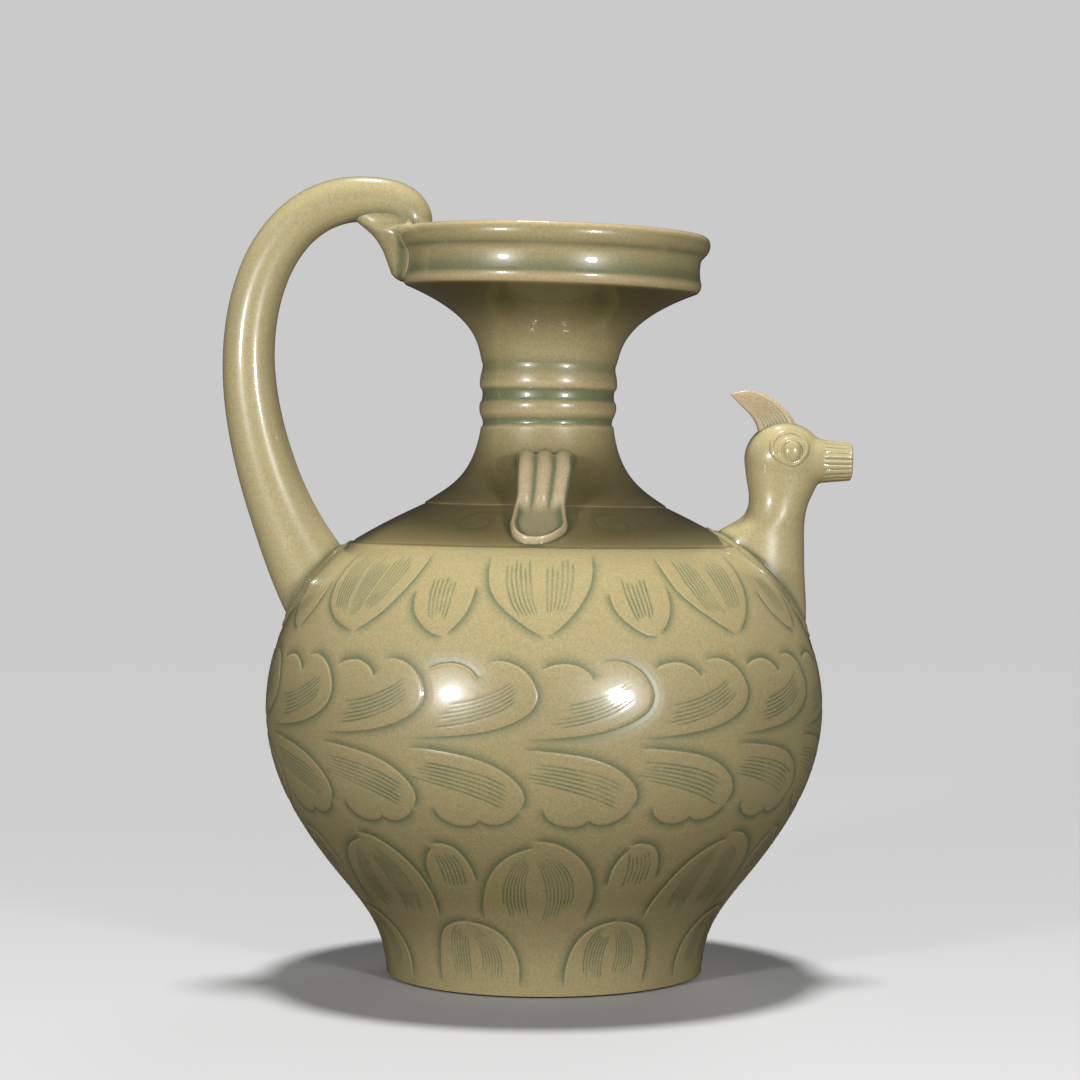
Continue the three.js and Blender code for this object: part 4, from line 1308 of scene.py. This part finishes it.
def seamLoop(piece):
    # Where a piece passes through the body's skin, in even turns about the middle of the seam
    points = coordinates(piece)
    a, b = edgeEnds(piece)
    outside = np.hypot(points[:, 0], points[:, 1]) - skinRadius(points[:, 2])
    crossing = (outside[a] > 0) != (outside[b] > 0)
    a, b = a[crossing], b[crossing]
    share = (outside[a] / (outside[a] - outside[b]))[:, None]
    seam = points[a] + (points[b] - points[a]) * share
    centre = seam.mean(0)
    angle = np.arctan2(seam[:, 1] - centre[1], seam[:, 2] - centre[2])
    order = np.argsort(angle)
    wrapped = np.concatenate([angle[order] + 2 * math.pi * turn for turn in (-1, 0, 1)])
    ring = np.linspace(-math.pi, math.pi, rootCoil["around"], endpoint=False)
    loop = np.column_stack([np.interp(ring, wrapped, np.tile(seam[order, axis], 3)) for axis in range(3)])
    for _ in range(rootCoil["smoothing"]):
        loop = (np.roll(loop, 1, 0) + 2 * loop + np.roll(loop, -1, 0)) / 4
    return loop, centre


def makeRootCoil(name, member):
    loop, centre = seamLoop(member)
    normal = skinDirection(loop, np.interp(loop[:, 2], bodySkin[:, 1], skinLength))
    along = np.roll(loop, -1, 0) - np.roll(loop, 1, 0)
    along /= np.linalg.norm(along, axis=1)[:, None]
    away = np.cross(along, normal)
    away *= np.sign(((loop - centre) * away).sum(1))[:, None]
    section = smoothLine(rootCoil["section"], rootCoil["sectionPoints"])[:-1]
    rings = [loop + away * across + normal * height for across, height in section]
    corners = np.array(rings).transpose(1, 0, 2).reshape(-1, 3)
    return ringSkin(name, corners, len(section), closed=True)


print("making the members")
madeHandle = makeHandle()
madeBird = makeBird()
madeBeak = makeBeak()
madeCrest = makeCrest()
madeClasp = makeClasp()
lugFront = makeLug("lug_front", -1)
lugBack = makeLug("lug_back", 1)
handleCoil = makeRootCoil("handle_root_coil", madeHandle)
birdCoil = makeRootCoil("spout_root_coil", madeBird)
boreChannel(madeBird)
joints = reachOf(lugFront, lugBack, handleCoil, birdCoil)
nearHandle, nearClasp, nearBird, nearCrest = reachOf(madeHandle, madeClasp, madeBird, madeCrest)

print("turning and carving the body")
petals, leaves = petalBand.values(), leafBand.values()
foot, dome, smallDome = footBand["petal"], domeBand["large"], domeBand["small"]
bodyBands = [
    # Name, start and end along the skin, motifs, solid that it replaces, what gathers glaze on it
    ("foot_petals", 0, 31, [foot, dome], ["lower_body"], ()),
    ("dome_petals", 31, 70, [foot, dome, smallDome], (), ()),
    ("lower_leaves", 70, seamPlace, [leafBand["lower"], leafBand["upper"], dome], (), ()),
    ("upper_leaves", seamPlace, 140, [*leaves, *petals], ["upper_body"], joints),
    ("hanging_petals", 140, 178, [*petals, leafBand["upper"]], (), joints),
    ("shoulder", 178, skinLength[-1], [curlBand["curl"]], (), joints),
]
madeBands = [bodyBand(*settings[:4]) for settings in bodyBands]

print("finishing")
# The body's bands are darkened by height, partly for thicker glaze and partly as painted shade
for band, (*_, replaced, near) in zip(madeBands, bodyBands):
    finishPiece(band, bodyGlaze, "body_glaze", replaced, near=near, deepAndShade=deepGlazeAndShade)
# The neck and the dish share the darkening by height, partly painted shade of the dish's shadow
neckLook = {"tilt": lean["neckTilt"], "deepAndShade": deepGlazeAndShade}
finishPiece(makeNeck(), bodyGlaze, "body_glaze", ["neck"], levels=neck["glaze"], near=joints[:2], **neckLook)
finishPiece(makeDish(), bodyGlaze, "body_glaze", ["dish_mouth"], levels=dish["glaze"],
            near=[nearClasp, nearHandle], gather=0.35, **neckLook)
finishPiece(madeHandle, paleGlaze, "pale_glaze", ["handle"], bare=0, near=[joints[2], nearClasp],
            gather=0.42, reach=5)
finishPiece(madeClasp, paleGlaze, "pale_glaze", ["handle_clasp"], near=[nearHandle], gather=0.35, reach=5)
finishPiece(handleCoil, bodyGlaze, "pale_glaze", ["handle_root_coil"], bare=0.8, pool=1.2, near=[nearHandle])
finishPiece(madeBird, paleGlaze, "pale_glaze", ["spout_neck", "spout_head"], bare=0,
            near=[joints[3], nearCrest])
finishPiece(madeBeak, paleGlaze, "pale_glaze", ["spout_beak"])
finishPiece(birdCoil, bodyGlaze, "thin_glaze", ["spout_root_coil"], bare=1.3, pool=1.2, near=[nearBird])
finishPiece(madeCrest, thinGlaze, "thin_glaze", ["spout_crest"], near=[nearBird], gather=0.2)
for face, side, madeLug in (("front", -1, lugFront), ("back", 1, lugBack)):
    for make, name in ((makeEye, f"spout_eye_{face}"), (makeEyeRing, f"spout_eye_ring_{face}")):
        finishPiece(make(name, side), paleGlaze, "pale_glaze", [name], bare=0.2)
    coils = [f"lug_{face}_coil_{place}" for place in ("left", "middle", "right")]
    finishPiece(madeLug, thinGlaze, "thin_glaze", [*coils, f"lug_{face}_pad"])

# Studio

studio = {
    "floor": 6,
    "floorDrop": 0.0002,
    "floorRoughness": 0.8,
    "floorColour": (0.395, 0.394, 0.395, 1),
    # What the floor sends back to the object
    "bounceColour": (0.046, 0.042, 0.029, 1),
    # Strength of the world as the camera and as the object see it
    "backdrop": 0.59,
    "world": 0.03,
    "suns": [
        # Name, where it stands, strength, angle
        ("overhead", (0.01, 0.13, 1), 4.3, 9),
        ("rearFill", (0.3, 0.9, 0.42), 0.8, 25),
    ],
    "lamps": [
        # Name, place, aim, size across and up, power, whether it lights or is only mirrored
        ("leftSoftbox", (-0.64, -0.85, 0.348), (-0.03, -0.09, 0.11), (0.13, 0.12), 7, True),
        ("rightSoftbox", (0.52, -0.935, 0.331), (0.03, -0.09, 0.11), (0.15, 0.13), 7, True),
        ("sheen", (-0.06, 0.5, 1.4), (0, 0, 0.25), (0.16, 0.2), 3.2, False),
    ],
    # Fitted to the ellipses of the foot, the belly, the shoulder line and the rim
    "camera": {"place": (-0.00144, -1.01515, 0.1777), "down": 1.1655, "lens": 92.853, "sensor": 36},
}


def addLight(name, kind, energy, direction):
    light = bpy.data.lights.new(name, kind)
    light.energy = energy
    lamp = newObject(name, light)
    lamp.rotation_mode = "QUATERNION"
    lamp.rotation_quaternion = direction.to_track_quat("Z", "Y")
    return lamp


def addFloor():
    deselectAll()
    bpy.ops.mesh.primitive_plane_add(size=studio["floor"], location=(0, 0, -studio["floorDrop"]))
    floor = bpy.context.object
    floor.name = "floor"
    material = bpy.data.materials.new("floorPaper")
    material.use_nodes = True
    tree = material.node_tree
    seen = addNode(tree, "LightPath").outputs["Is Camera Ray"]
    feed(tree, tree.nodes["Principled BSDF"], {
        "Roughness": studio["floorRoughness"],
        "Specular IOR Level": 0,
        "Base Color": mixed(tree, seen, studio["bounceColour"], studio["floorColour"]),
    })
    floor.data.materials.append(material)


def addWorld():
    world = bpy.data.worlds.new("studio")
    world.use_nodes = True
    bpy.context.scene.world = world
    tree = world.node_tree
    seen = addNode(tree, "LightPath").outputs["Is Camera Ray"]
    strength = mapped(tree, seen, (0, 1), (studio["world"], studio["backdrop"]))
    feed(tree, tree.nodes["Background"], {"Color": (1, 1, 1, 1), "Strength": strength})


def addCamera():
    settings = studio["camera"]
    data = bpy.data.cameras.new("camera")
    data.sensor_width = settings["sensor"]
    data.lens = settings["lens"]
    camera = newObject("camera", data)
    camera.location = settings["place"]
    camera.rotation_euler = (math.radians(90 - settings["down"]), 0, 0)
    bpy.context.scene.camera = camera


for name, direction, strength, angle in studio["suns"]:
    sun = addLight(name, "SUN", strength, Vector(direction))
    sun.data.angle = math.radians(angle)
    sun.visible_glossy = False
for name, place, aim, size, power, lights in studio["lamps"]:
    lamp = addLight(name, "AREA", power, Vector(place) - Vector(aim))
    lamp.location = place
    lamp.data.shape = "ELLIPSE"
    lamp.data.size, lamp.data.size_y = size
    lamp.visible_diffuse = lights
addFloor()
addWorld()
addCamera()
bpy.context.scene.view_settings.view_transform = "Standard"
